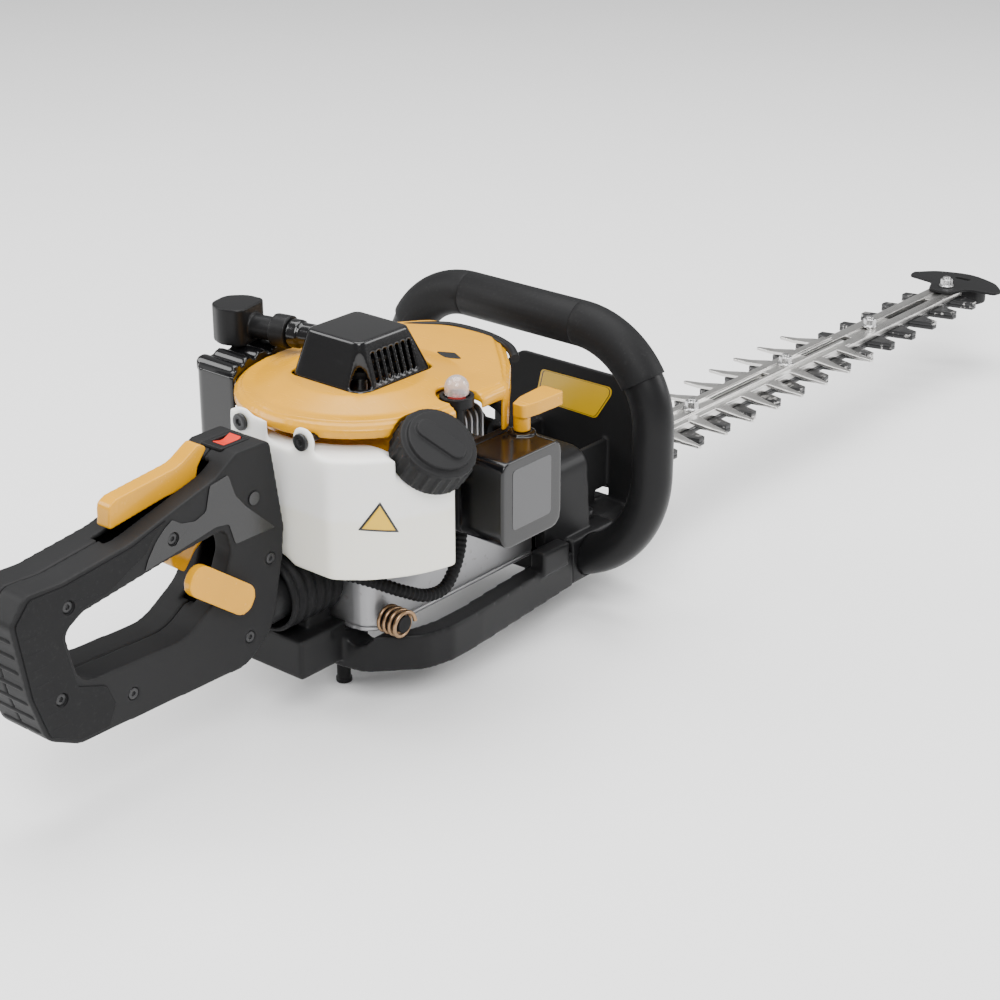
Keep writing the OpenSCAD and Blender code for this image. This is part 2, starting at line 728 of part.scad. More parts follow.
module crankcase() color(alloy) {
    difference() {
        union() {
            translate([crank_x, 0, case_bottom]) cylinder(h = case_top - case_bottom, r = case_r + 4);
            block([crank_x, -22, case_bottom], [crank_x + case_r + 5, 22, case_top]);
            translate([crank_x, 0, drum_z + drum_h + 1])
                cylinder(h = case_bottom - drum_z - drum_h, r = clutch_case_r + 3);
            translate([crank_x, 0, case_top - 1]) cylinder(h = 5, r = 14);
        }
        translate([crank_x, 0, case_bottom + 4]) cylinder(h = case_top - case_bottom - 8, r = case_r);
        translate([crank_x, 0, drum_z]) cylinder(h = 80, r = shaft_r + run_gap);
        translate([crank_x, 0, cylinder_z]) rotate([0, 90, 0]) cylinder(h = case_r + 10, r = bore_r + 0.5);
    }
}

module cylinder_fins(count, first, step) {
    for (i = [0 : count - 1]) {
        translate([first + i * step, 0, cylinder_z]) rotate([0, 90, 0]) linear_extrude(1.8)
            polygon(rounded([[-25, -27], [25, -27], [25, 27], [-25, 27]], [8, 8, 8, 8]));
    }
}

module engine_cylinder() color(alloy) {
    foot_x = crank_x + case_r + 5.05;
    difference() {
        union() {
            translate([foot_x, 0, cylinder_z]) rotate([0, 90, 0])
                cylinder(h = deck_x + 10 - foot_x, r = bore_r + 4);
            block([foot_x, -20, case_bottom], [foot_x + 4, 20, case_top]);
            cylinder_fins(9, foot_x + 10, 5.5);
            for (side = [-1, 1]) {
                translate([carb_x + 9, side > 0 ? 0 : -28, cylinder_z]) rotate([-90, 0, 0])
                    cylinder(h = 28, r = 11);
            }
        }
        translate([foot_x - 1, 0, cylinder_z]) rotate([0, 90, 0])
            cylinder(h = deck_x + 1 - foot_x, r = bore_r);
        translate([carb_x + 9, -40, cylinder_z]) rotate([-90, 0, 0]) cylinder(h = 80, r = 6);
        translate([deck_x - 1, 0, cylinder_z]) rotate([0, 90, 0]) cylinder(h = 20, r = 5.02);
    }
}

module piston() color(steel) {
    r = bore_r - piston_gap;
    difference() {
        translate([crown_x - 26, 0, cylinder_z]) rotate([0, 90, 0]) cylinder(h = 26, r = r);
        translate([crown_x - 27, 0, cylinder_z]) rotate([0, 90, 0]) cylinder(h = 23, r = r - 2.5);
        for (i = [0 : 1]) {
            translate([crown_x - 4 - i * 3.5, 0, cylinder_z]) rotate([0, 90, 0]) difference() {
                cylinder(h = 1.4, r = r + 1);
                translate([0, 0, -1]) cylinder(h = 4, r = r - 1);
            }
        }
    }
    translate([pin_x, -r + 1.5, cylinder_z]) rotate([-90, 0, 0]) cylinder(h = 2 * r - 3, r = 4);
}

module connecting_rod() color(alloy) {
    open_end = crank_x + engine_stroke + throw_r + 7;
    difference() {
        union() {
            rod([pin_x, -5, cylinder_z], [pin_x, 5, cylinder_z], 7);
            block([open_end, -3.5, cylinder_z - 3], [pin_x, 3.5, cylinder_z + 3]);
        }
        rod([pin_x, -12, cylinder_z], [pin_x, 12, cylinder_z], 4.02);
    }
}

module crankshaft() color(steel) {
    web_r = case_r - 7;
    translate([crank_x, 0, 0]) {
        for (side = [-1, 1]) {
            translate([0, 0, cylinder_z + side * 7.5 - 3]) difference() {
                cylinder(h = 6, r = web_r);
                block([8, -30, -1], [30, -9, 8]);
                block([8, 9, -1], [30, 30, 8]);
            }
        }
        translate([throw_r - 1, 0, cylinder_z - 5]) cylinder(h = 10, r = 5);
        translate([0, 0, drum_z + 3.6]) cylinder(h = cylinder_z - 4.5 - drum_z - 3.6, r = shaft_r);
        translate([0, 0, cylinder_z + 4.6]) cylinder(h = starter_base_z - cylinder_z - 5.6, r = shaft_r);
    }
}

module fan_wheel() color(alloy) {
    translate([crank_x, 0, fan_z]) difference() {
        union() {
            cylinder(h = 6, r = 40);
            cylinder(h = fan_h, r = 12);
            for (i = [0 : 15]) {
                rotate(22.5 * i) block([20, -1.2, 5], [fan_r, 1.2, fan_h]);
            }
            cylinder(h = 2, r = fan_r);
        }
        translate([0, 0, -1]) cylinder(h = fan_h + 2, r = shaft_r);
    }
}

module starter_pulley() color(black) {
    translate([crank_x, 0, pulley_z - 3]) difference() {
        union() {
            cylinder(h = 4.6, r = pulley_r + 4);
            cylinder(h = 14, r = pulley_r - 3);
            translate([0, 0, 10]) cylinder(h = 3, r = pulley_r + 4);
        }
        translate([0, 0, -1]) cylinder(h = 3, r = 12);
        translate([0, 0, -1]) cylinder(h = 20, r = 4 + run_gap);
    }
}

module spark_plug() color([0.85, 0.84, 0.8]) {
    translate([deck_x + 1, 0, cylinder_z]) rotate([0, 90, 0]) {
        cylinder(h = 12, r = 5);
        translate([0, 0, 10.2]) cylinder(h = 7, r = 8, $fn = 6);
        translate([0, 0, 17]) cylinder(h = 14, r = 4.4);
    }
}

module plug_boot() color(black) {
    x = deck_x + 20;
    difference() {
        union() {
            translate([x, 0, cylinder_z]) rotate([0, 90, 0]) cylinder(h = 17, r = 8);
            translate([x + 9, 0, cylinder_z]) rotate([90, 0, 0]) cylinder(h = 20, r = 7);
        }
        translate([x - 4, 0, cylinder_z]) rotate([0, 90, 0]) cylinder(h = 16.1, r = 4.4);
        translate([x + 9, -12, cylinder_z]) rotate([90, 0, 0]) cylinder(h = 20, r = 3.5);
    }
    swept_tube(smooth([[x + 9, -13, cylinder_z], [x + 9, -28, cylinder_z + 2], [x + 5, -36, cylinder_z + 12],
        [x - 6, -33, cylinder_z + 26], [x - 15, -10, cylinder_z + 34], [coil_face + 9, -1, cylinder_z + 35],
        [coil_face + 5, 0, cylinder_z + 35], [coil_face + 0.1, 0, cylinder_z + 35]], 4), 3.2);
}

module ignition_coil() color(black) {
    block([coil_face - 18, -14, housing_bottom + 3], [coil_face - 7, 14, housing_bottom + 17]);
    block([coil_face - 7, -10, housing_bottom + 4], [coil_face, 10, housing_bottom + 15]);
}

module intake_spacer() color([0.2, 0.18, 0.16]) {
    x = carb_x + 9;
    difference() {
        block([x - 14, -38, cylinder_z - 14], [x + 14, -28.05, cylinder_z + 14]);
        translate([x, -40, cylinder_z]) rotate([-90, 0, 0]) cylinder(h = 20, r = 6);
    }
}

module carburettor() color(alloy) {
    x = carb_x + 4;
    difference() {
        union() {
            block([x - 19, -67, cylinder_z - 17], [x + 19, -38.05, cylinder_z + 17]);
            translate([x - 8, -52, cylinder_z + 16]) cylinder(h = 5, r = 6);
        }
        translate([x + 5, -70, cylinder_z]) rotate([-90, 0, 0]) cylinder(h = 40, r = 6);
    }
}

function airbox_outline(grow) = rounded([[carb_x - airbox_w / 2 - grow, cylinder_z - airbox_h / 2 - grow],
    [carb_x + airbox_w / 2 + grow, cylinder_z - airbox_h / 2 - grow],
    [carb_x + airbox_w / 2 + grow, cylinder_z + airbox_h / 2 + grow],
    [carb_x - airbox_w / 2 - grow, cylinder_z + airbox_h / 2 + grow]], [8, 8, 6, 6]);

module airbox_base() color(black) {
    difference() {
        plate_xz(airbox_outline(0), -74, -67.05);
        translate([carb_x + 9, -80, cylinder_z]) rotate([-90, 0, 0]) cylinder(h = 40, r = 6);
    }
    block([primer_at.x - 9, -74, airbox_top - 2], [primer_at.x + 9, primer_at.y + 4.4, airbox_top + 1]);
}

module air_filter() color([0.3, 0.3, 0.3]) {
    difference() {
        plate_xz(airbox_outline(-6), -96, -74.05);
        translate([carb_x + 9, -88, cylinder_z]) rotate([-90, 0, 0]) cylinder(h = 40, r = 6);
    }
}

module airbox_cover() color(black) {
    difference() {
        plate_xz(airbox_outline(0), airbox_face_y, -74.05);
        plate_xz(airbox_outline(-3), airbox_face_y + 3, -70);
    }
    translate([choke_at.x, choke_at.y, airbox_top - 2]) cylinder(h = choke_at.z - airbox_top + 2, r = 9);
    translate([carb_x + 4, -92, cylinder_z - airbox_h / 2 - 4.9]) cylinder(h = 5, r = 5);
    translate([carb_x - 14, -86, cylinder_z - airbox_h / 2 - 3.9]) cylinder(h = 4, r = 3);
}

module choke_lever() color(yellow) {
    translate(choke_at + [0, 0, move_gap]) {
        cylinder(h = 12, r = 5.5);
        translate([0, 0, 10]) linear_extrude(9)
            polygon(rounded([[-6, -6], [6, -8], [32, -9], [32, 9], [6, 7], [-6, 3]], [3, 4, 3, 3, 4, 2]));
    }
}

module primer_base() color(black) {
    translate(primer_at) difference() {
        union() {
            cylinder(h = 7, r = 11);
            translate([0, 0, airbox_top + 1 - primer_at.z]) cylinder(h = primer_at.z - airbox_top, r = 5);
        }
        translate([0, 0, 4]) cylinder(h = 4, r = 8.4);
    }
}

module primer_bulb() color([0.9, 0.88, 0.85, 0.5]) {
    translate(primer_at + [0, 0, 7.8]) difference() {
        union() {
            cylinder(h = 4, r = 7.8);
            translate([0, 0, 4]) sphere(r = 7.8);
        }
        translate([0, 0, -9]) cylinder(h = 9, r = 9);
        cylinder(h = 4, r = 6.6);
        translate([0, 0, 4]) sphere(r = 6.6);
    }
}

module muffler() color([0.5, 0.45, 0.4]) {
    x = carb_x + 9;
    difference() {
        union() {
            block([x - 44, 35, cylinder_z - 24], [x + 14, 61, cylinder_z + 23]);
            translate([x, 28, cylinder_z]) rotate([-90, 0, 0]) cylinder(h = 8, r = 12);
            translate([x - 30, 60, cylinder_z - 14]) rotate([-90, 0, 0]) cylinder(h = 22, r = 6);
        }
        translate([x, 20, cylinder_z]) rotate([-90, 0, 0]) cylinder(h = 20, r = 6);
        block([x - 42, 37, cylinder_z - 22], [x + 12, 59, cylinder_z + 21]);
        translate([x - 30, 58, cylinder_z - 14]) rotate([-90, 0, 0]) cylinder(h = 30, r = 5);
    }
}

module muffler_cover() color(black) {
    shell = rounded([[cover_rear, 62], [cover_rear, 96], [cover_rear + 14, 106], [crank_x + 40, 106],
        [crank_x + 56, 92], [crank_x + 56, 62]], [3, 8, 8, 10, 8, 3]);
    inner = rounded([[cover_rear - 1, 60], [cover_rear + 3, 62], [cover_rear + 3, 93],
        [cover_rear + 16, 103], [crank_x + 39, 103], [crank_x + 53, 91], [crank_x + 53, 60]],
        [0, 0, 6, 6, 8, 6, 0]);
    bottom = cylinder_z - 30;
    top = 206;
    difference() {
        union() {
            translate([0, 0, bottom]) linear_extrude(top - bottom) polygon(shell);
            for (i = [0 : 3]) {
                translate([cover_rear + 12 + i * 15, 70, top - 2]) rotate([-90, 0, 0])
                    cylinder(h = 34, r = 6);
            }
        }
        translate([0, 0, bottom - 1]) linear_extrude(top - bottom - 5) polygon(inner);
        cowl_outline(0.6, airbox_top + 2, top + 30);
        for (i = [0 : 5]) {
            block([cover_rear + 16, 100, bottom + 12 + i * 9], [crank_x + 36, 110, bottom + 16 + i * 9]);
        }
    }
}

// ---------------------------------------------------------------- housings

module fan_housing() color(yellow) {
    inner_r = fan_case_r - 3;
    difference() {
        union() {
            translate([crank_x, 0, housing_bottom])
                cylinder(h = housing_top - housing_bottom, r = fan_case_r);
            block([crank_x + 40, -34, housing_bottom], [crank_x + 66, 34, housing_top - 10]);
        }
        translate([crank_x, 0, housing_bottom + 3]) cylinder(h = housing_top, r = inner_r);
        block([crank_x + 40, -31, housing_bottom + 3], [crank_x + 90, 31, housing_top]);
        translate([crank_x, 0, housing_bottom - 1]) cylinder(h = 6, r = 15);
        block([crank_x + 59, -36, housing_bottom - 1], [crank_x + 90, -6, housing_bottom + 20]);
    }
}

module cowl_outline(grow, z0, z1) {
    front = cowl_front_x + grow;
    side = cowl_r + grow;
    translate([0, 0, z0]) linear_extrude(z1 - z0) {
        translate([crank_x, 0]) circle(r = side, $fn = 72);
        polygon(rounded([[crank_x, -side], [crank_x + 56, -side + 2], [front - 31, -50 - grow],
            [front, -18 - grow], [front, 46 + grow], [front - 21, 62 + grow], [crank_x + 38, side],
            [crank_x, side]], [0, 12, 12, 14, 14, 14, 40, 0]));
    }
}

// The cowl's upper body, drawn in by the wall for the inside.
module cowl_body(inset) {
    for (layer = [[0, cowl_rim_z - inset, cowl_skirt_z - 4], [2, cowl_skirt_z - 5, cowl_skirt_z - 2],
        [5, cowl_skirt_z - 3, cowl_skirt_z]]) {
        cowl_outline(-layer[0] - inset, layer[1], layer[2] - inset);
    }
    translate([crank_x, 0, cowl_skirt_z - 1 - inset])
        cylinder(h = starter_base_z + 4 - cowl_skirt_z, r1 = cowl_r - 9 - inset, r2 = 46 - inset);
}

// The cowl's lower walls, round its front extension only.
module cowl_walls(inset) {
    low = airbox_top + 3;
    intersection() {
        cowl_outline(-inset, low - inset, cowl_rim_z + inset);
        block([crank_x + 50 - inset, -100, low - inset], [cowl_front_x + 1, 100, cowl_rim_z + inset]);
    }
}

module cowl() color(yellow) {
    window_x = crank_x + 75;
    window_r = 17;
    window_z = cylinder_z + 30;
    difference() {
        union() {
            cowl_body(0);
            cowl_walls(0);
        }
        cowl_body(cowl_t);
        cowl_walls(cowl_t);
        translate([window_x, -100, window_z]) rotate([-90, 0, 0]) cylinder(h = 60, r = window_r);
        block([window_x - window_r, -100, 100], [window_x + window_r, -40, window_z]);
        translate([primer_at.x, primer_at.y, cowl_rim_z - 10]) cylinder(h = 60, r = 13);
        block([primer_at.x - 13, -100, cowl_rim_z - 10], [primer_at.x + 13, primer_at.y, cowl_rim_z + 30]);
        translate([0, 0, cowl_rim_z - 10]) linear_extrude(60) starter_foot(0.4);
        in_neck() translate([0, 0, -12]) cylinder(h = 60, r = cap_r + 2.5);
        tank_screw_holes(2.55);
    }
}

module starter_foot(grow) {
    foot = 32 + grow;
    polygon(rounded([[crank_x - foot, -foot], [crank_x + foot + 6, -foot], [crank_x + foot + 6, foot],
        [crank_x - foot, foot]], [9, 9, 9, 9]));
}

module starter_shape(inset) {
    crest = 23 - inset;
    hull() {
        translate([0, 0, starter_base_z - 4]) linear_extrude(4) starter_foot(-inset);
        translate([crank_x, 0, starter_top - 3 - inset]) linear_extrude(3)
            polygon(rounded([[-crest, -crest], [crest, -crest], [crest, crest], [-crest, crest]],
                [5, 5, 5, 5]));
    }
}

module starter_cover() color([0.04, 0.04, 0.04]) {
    difference() {
        union() {
            starter_shape(0);
            along_rope() rod([0, 18, 0], [0, boss_end - 6, 0], 8);
            along_rope() rod([0, boss_end - 8, 0], [0, boss_end, 0], 9.5);
            translate([crank_x, 0, starter_base_z - 6.5]) cylinder(h = 3, r = 47);
        }
        difference() {
            starter_shape(2.5);
            translate([crank_x, 0, starter_base_z]) cylinder(h = 40, r = 4);
        }
        translate([crank_x, 0, starter_base_z - 7]) cylinder(h = 7, r = 28);
        along_rope() rod([0, 0, 0], [0, boss_end + 8, 0], rope_r + 1);
        for (i = [0 : 6]) {
            block([crank_x - 15 + i * 5.5, -50, starter_base_z + 5],
                [crank_x - 12 + i * 5.5, -20, starter_top - 8]);
        }
        translate([crank_x - 30, -30, starter_base_z + 3]) cylinder(h = 40, r = 10);
    }
}

// Carries what is drawn along +Y to the line on which the rope leaves the pulley.
module along_rope() {
    translate([crank_x, 0, rope_z]) rotate([0, 0, rope_turn]) translate([pulley_r, 0, 0]) children();
}

module pull_handle() color(black) {
    collar_y = boss_end + move_gap;
    grip_y = collar_y + 29;
    grip = rounded([[-15, grip_y], [15, grip_y], [17, grip_y + 16], [9, grip_y + 28],
        [-9, grip_y + 28], [-17, grip_y + 16]], [6, 6, 14, 10, 10, 14]);
    along_rope() difference() {
        union() {
            rod([0, collar_y, 0], [0, collar_y + 12, 0], 11);
            rod([0, collar_y + 12, 0], [0, grip_y + 1, 0], 8);
            translate([0, 0, -10.8]) linear_extrude(25) polygon(grip);
        }
        rod([0, collar_y - 1, 0], [0, collar_y + 20, 0], rope_r);
    }
}

module starter_rope() color([0.85, 0.85, 0.8]) {
    along_rope() rod([0, 14, 0], [0, boss_end + 16, 0], rope_r);
}

// Plan of the tank: an arc about the crank axis, kept flat at the rear.
module tank_plan(inset) {
    outer = tank_r - inset;
    inner = tank_r - tank_depth + inset;
    from = tank_from + inset * 0.6;
    to = tank_to - inset * 0.6;
    step = (to - from) / 18;
    intersection() {
        polygon([for (a = [from : step : to + 0.1]) [crank_x, 0] + outer * [cos(a), sin(a)],
            for (a = [to : -step : from - 0.1]) [crank_x, 0] + inner * [cos(a), sin(a)]]);
        translate([tank_rear_x + inset, -200]) square([400, 400]);
    }
}

module tank_solid(inset) {
    shoulder_z = cowl_rim_z - 7 - inset;
    difference() {
        translate([0, 0, tank_z + inset]) linear_extrude(tank_back_top - tank_z - 2 * inset)
            tank_plan(inset);
        plate_xz([[-70, 230], [-70, shoulder_z], [-24, shoulder_z], [-2, tank_side_top - inset],
            [40, tank_side_top - 4 - inset], [40, 230]], -300, 0);
        block([-120, 30, 0], [10, 200, tank_z + 26 + inset]);
        translate([crank_x, 0, shoulder_z]) cylinder(h = 60, r = cowl_r + 0.6 + inset);
        translate([-90, 0, swivel_z]) rotate([0, 90, 0]) cylinder(h = 90, r = bellows_r + 3 + inset);
        in_neck() translate([0, 0, -9 - inset]) cylinder(h = 60, r = cap_r + 2 + inset);
    }
}

module tank_screw_holes(r) {
    for (y = tank_screw_y) {
        translate([tank_rear_x - 1, y, tank_back_top - 6]) rotate([0, 90, 0]) cylinder(h = 20, r = r);
    }
}

module in_neck() {
    translate(cap_at) rotate([0, 0, cap_turn]) rotate([0, cap_tilt, 0]) children();
}

module fuel_tank() color(tank_white) {
    difference() {
        union() {
            tank_solid(0);
            in_neck() translate([0, 0, -15]) cylinder(h = 19, r = 20);
            for (y = tank_screw_y) {
                translate([tank_rear_x, y, tank_back_top - 6]) rotate([0, 90, 0]) cylinder(h = 3, r = 10);
            }
        }
        tank_screw_holes(2.6);
        tank_solid(tank_wall);
        in_neck() translate([0, 0, -16]) cylinder(h = 40, r = 17);
        translate([crank_x, 0, 100]) cylinder(h = 120, r = tank_r - tank_depth);
    }
}

module fuel_cap() color(black) {
    in_neck() difference() {
        union() {
            translate([0, 0, -8]) cylinder(h = 20, r = cap_r);
            translate([0, 0, 11]) cylinder(h = 4, r = cap_r - 4);
            rotate(30) translate([0, 0, 14]) linear_extrude(3)
                polygon(rounded([[-17, -7], [17, -7], [17, 7], [-17, 7]], [6, 6, 6, 6]));
            for (i = [0 : 23]) {
                rotate(15 * i) translate([cap_r, 0, -6]) cylinder(h = 15, r = 1.3, $fn = 6);
            }
        }
        translate([0, 0, -9]) cylinder(h = 18, r = 20 + move_gap);
    }
}

module tank_screws() color(black) {
    for (y = tank_screw_y) {
        translate([tank_rear_x, y, tank_back_top - 6]) rotate([0, -90, 0]) pan_screw(5.5, 2.5, 14);
    }
}

module fuel_hoses() color([0.2, 0.2, 0.2]) {
    swept_tube(smooth([[12, -66, 150], [22, -62, 150], [32, -56, 149], [41, -53, 148],
        [45, -52, 147]], 4), 2.4);
}

module throttle_conduit() color(black) {
    swept_tube(smooth([[-28, -30, 98], [-16, -44, 92], [-2, -56, 84], [14, -62, 77], [30, -64, 78],
        [44, -62, 92], [50, -60, 108], [54, -56, 124]], 4), 4.4, 8);
}

// ---------------------------------------------------------------- rear handle

// One shell of the rear handle: side is -1 for the right shell and 1 for the left.
module handle_shell(side) {
    gap = 0.02;
    low = side > 0 ? gap : -handle_half;
    high = side > 0 ? handle_half : -gap;
    skin_low = side > 0 ? -1 : -handle_half + handle_wall;
    skin_high = side > 0 ? handle_half - handle_wall : 1;
    difference() {
        plate_xz(handle_outline, low, high);
        plate_xz(handle_window, low - 1, high + 1);
        rotate([90, 0, 0]) translate([0, 0, -skin_high]) linear_extrude(skin_high - skin_low)
            offset(delta = -handle_wall) difference() {
                polygon(handle_outline);
                polygon(handle_window);
            }
        block([-150, -slot_half, 128], [-100, slot_half, 166]);
        block([-196, -slot_half, 160], [-112, slot_half, 214]);
        block([-106, -9, 180], [-82, 9, 214]);
        translate([tube_start, 0, swivel_z]) rotate([0, 90, 0]) cylinder(h = 60, r = tube_r + 0.02);
        block([-138, -slot_half, 108], [-112, slot_half, 134]);
        for (spot = screw_spots) {
            translate([spot.x, -handle_half - 1, spot.y]) rotate([-90, 0, 0]) cylinder(h = 4, r = 4);
        }
        translate([paddle_pin.x, -handle_half - 1, paddle_pin.y]) rotate([-90, 0, 0])
            cylinder(h = handle_wall + 1, r = 3 + run_gap);
    }
    for (pin = [trigger_pin, lever_pin]) {
        translate([pin.x, side > 0 ? slot_half : skin_low - 0.1, pin.y]) rotate([-90, 0, 0])
            difference() {
                cylinder(h = handle_half - handle_wall - slot_half + 0.1, r = 4.5);
                translate([0, 0, -1]) cylinder(h = handle_half, r = pin_r + 0.02);
            }
    }
    for (spot = screw_spots) {
        translate([spot.x, side > 0 ? gap : skin_low - 0.1, spot.y]) rotate([-90, 0, 0])
            difference() {
                cylinder(h = handle_half - handle_wall - gap, r = 4.6);
                translate([0, 0, -1]) cylinder(h = handle_half + 2, r = 1.9);
            }
    }
}

module handle_right() color(black) handle_shell(-1);

module handle_left() color(black) handle_shell(1);

module handle_screws() color([0.2, 0.2, 0.2]) {
    for (spot = screw_spots) {
        translate([spot.x, -handle_half + handle_wall - 0.1, spot.y]) rotate([90, 0, 0])
            pan_screw(3.6, 1.85, 22);
    }
}

module swivel_tube() color(black) {
    translate([tube_start, 0, swivel_z]) rotate([0, 90, 0]) difference() {
        cylinder(h = collar_x + collar_l - tube_start, r = tube_r);
        translate([0, 0, -1]) cylinder(h = 90, r = tube_r - 4);
    }
}

module throttle_trigger() color(yellow) {
    half = slot_half - move_gap;
    difference() {
        plate_xz(rounded([[-148, 150], [-146, 138], [-137, 131], [-128, 142], [-112, 152], [-102, 154],
            [-102, 162], [-112, 163], [-140, 158]], [3, 4, 2, 12, 8, 3, 3, 4, 6]), -half, half);
        translate([trigger_pin.x, -20, trigger_pin.y]) rotate([-90, 0, 0])
            cylinder(h = 40, r = pin_r + run_gap);
    }
}

module lockout_lever() color(yellow) {
    half = slot_half - move_gap;
    difference() {
        plate_xz(rounded([[-191, 177], [-190, 191], [-184, 194], [-136, 199], [-120, 208], [-114, 204],
            [-122, 194], [-124, 186], [-134, 184], [-150, 183]], [1, 4, 4, 20, 3, 2, 3, 3, 3, 6]),
            -half, half);
        translate([lever_pin.x, -20, lever_pin.y]) rotate([-90, 0, 0])
            cylinder(h = 40, r = pin_r + run_gap);
    }
}

module stop_switch() color(red) {
    translate([-93, 0, 197]) {
        plate_xz([[-7, 4], [-1, 2.6], [1, 2.6], [7, 5], [7, -1], [3, -5], [-3, -5], [-7, -1]], -5, 5);
        rotate([90, 0, 0]) cylinder(h = 10.6, r = 2.4, center = true);
    }
}

module switch_bezel() color(black) {
    difference() {
        block([-105.9, -8.9, 185], [-82.1, 8.9, 201.4]);
        block([-101, -5.5, 188], [-85, 5.5, 202]);
    }
}

module release_paddle() color(yellow) {
    translate([-126, -handle_half - move_gap, 121]) rotate([0, 36, 0]) rotate([90, 0, 0]) {
        linear_extrude(6) polygon(rounded([[-29, -10], [29, -10], [29, 10], [-29, 10]], [9, 9, 9, 9]));
    }
    translate([paddle_pin.x, -handle_half - 2, paddle_pin.y]) rotate([-90, 0, 0])
        cylinder(h = handle_wall + 2, r = 3);
}

module trigger_pins() color(steel) {
    for (pin = [trigger_pin, lever_pin]) {
        translate([pin.x, -14, pin.y]) rotate([-90, 0, 0]) cylinder(h = 28, r = pin_r);
    }
}

base_frame();
stand_foot();
front_bracket();
loop_handle();
loop_grip();
hand_guard();
bracket_screws();
av_springs();
swivel_bellows();
gearcase();
gearcase_lid();
clutch_drum();
drive_gear();
clutch_shoes();
crankcase();
engine_cylinder();
piston();
crankshaft();
fan_wheel();
starter_pulley();
spark_plug();
plug_boot();
ignition_coil();
carburettor();
intake_spacer();
air_filter();
airbox_base();
airbox_cover();
choke_lever();
primer_base();
primer_bulb();
muffler();
muffler_cover();
fan_housing();
cowl();
starter_cover();
pull_handle();
starter_rope();
fuel_tank();
fuel_cap();
tank_screws();
fuel_hoses();
throttle_conduit();
upper_blade();
lower_blade();
guide_bar();
tine_comb();
blade_bolts();
tip_guard();
handle_right();
handle_left();
handle_screws();
swivel_tube();
throttle_trigger();
lockout_lever();
stop_switch();
switch_bezel();
release_paddle();
trigger_pins();
connecting_rod();
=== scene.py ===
"""Looks of a petrol hedge trimmer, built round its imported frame.

Sizes are in metres in the frame's own axes: +X to the blade's tip, +Y to the left, +Z up.
"""

import json
import logging
import math
from abc import ABC, abstractmethod
from dataclasses import dataclass
from enum import Enum
from typing import Optional, Sequence, Union

import bmesh
import bpy
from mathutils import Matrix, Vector


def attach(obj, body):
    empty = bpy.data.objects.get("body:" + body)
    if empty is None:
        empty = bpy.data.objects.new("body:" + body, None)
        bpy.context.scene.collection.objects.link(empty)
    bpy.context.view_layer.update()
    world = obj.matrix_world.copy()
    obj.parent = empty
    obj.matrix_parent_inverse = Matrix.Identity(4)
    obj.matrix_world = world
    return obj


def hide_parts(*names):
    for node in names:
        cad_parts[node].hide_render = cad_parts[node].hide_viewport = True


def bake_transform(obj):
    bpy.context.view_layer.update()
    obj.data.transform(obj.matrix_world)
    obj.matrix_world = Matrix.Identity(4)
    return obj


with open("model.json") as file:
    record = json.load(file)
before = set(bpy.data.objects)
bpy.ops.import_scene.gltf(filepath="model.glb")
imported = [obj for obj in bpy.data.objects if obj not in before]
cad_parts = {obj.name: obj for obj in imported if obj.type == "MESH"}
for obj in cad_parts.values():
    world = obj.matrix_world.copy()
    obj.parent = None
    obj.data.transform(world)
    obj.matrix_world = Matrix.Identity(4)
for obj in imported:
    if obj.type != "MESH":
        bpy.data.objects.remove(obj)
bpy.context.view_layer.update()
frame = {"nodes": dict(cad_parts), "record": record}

log = logging.getLogger("hedge_trimmer")

MM = 0.001

FULL_TURN = 2 * math.pi

Colour = tuple[float, float, float]
Point = tuple[float, float, float]
Flat = tuple[float, float]


# ---------------------------------------------------------------- node graphs


class Wire:
    """A node's output that takes Python's arithmetic; each operator adds one Math node."""

    def __init__(self, graph: "Graph", socket: Optional[bpy.types.NodeSocket]) -> None:
        """Keeps the graph and the socket."""
        self.graph = graph
        self.socket = socket

    def _math(self, operation: str, first: "Value", second: "Value" = 0.0) -> "Wire":
        """Adds a Math node and returns its output."""
        return self.graph.node("ShaderNodeMath", {"operation": operation}, {0: first, 1: second})

    def __add__(self, other: "Value") -> "Wire":
        """self + other."""
        return self._math("ADD", self, other)

    __radd__ = __add__

    def __mul__(self, other: "Value") -> "Wire":
        """self * other."""
        return self._math("MULTIPLY", self, other)

    __rmul__ = __mul__

    def __sub__(self, other: "Value") -> "Wire":
        """self - other."""
        return self._math("SUBTRACT", self, other)

    def __rsub__(self, other: "Value") -> "Wire":
        """other - self."""
        return self._math("SUBTRACT", other, self)

    def __truediv__(self, other: "Value") -> "Wire":
        """self / other."""
        return self._math("DIVIDE", self, other)

    def __rtruediv__(self, other: "Value") -> "Wire":
        """other / self."""
        return self._math("DIVIDE", other, self)

    def sine(self) -> "Wire":
        """The sine of self, in radians."""
        return self._math("SINE", self)

    def higher_of(self, other: "Value") -> "Wire":
        """The higher of self and other."""
        return self._math("MAXIMUM", self, other)


Value = Union[Wire, float, int, bool, str, tuple, bpy.types.NodeSocket]


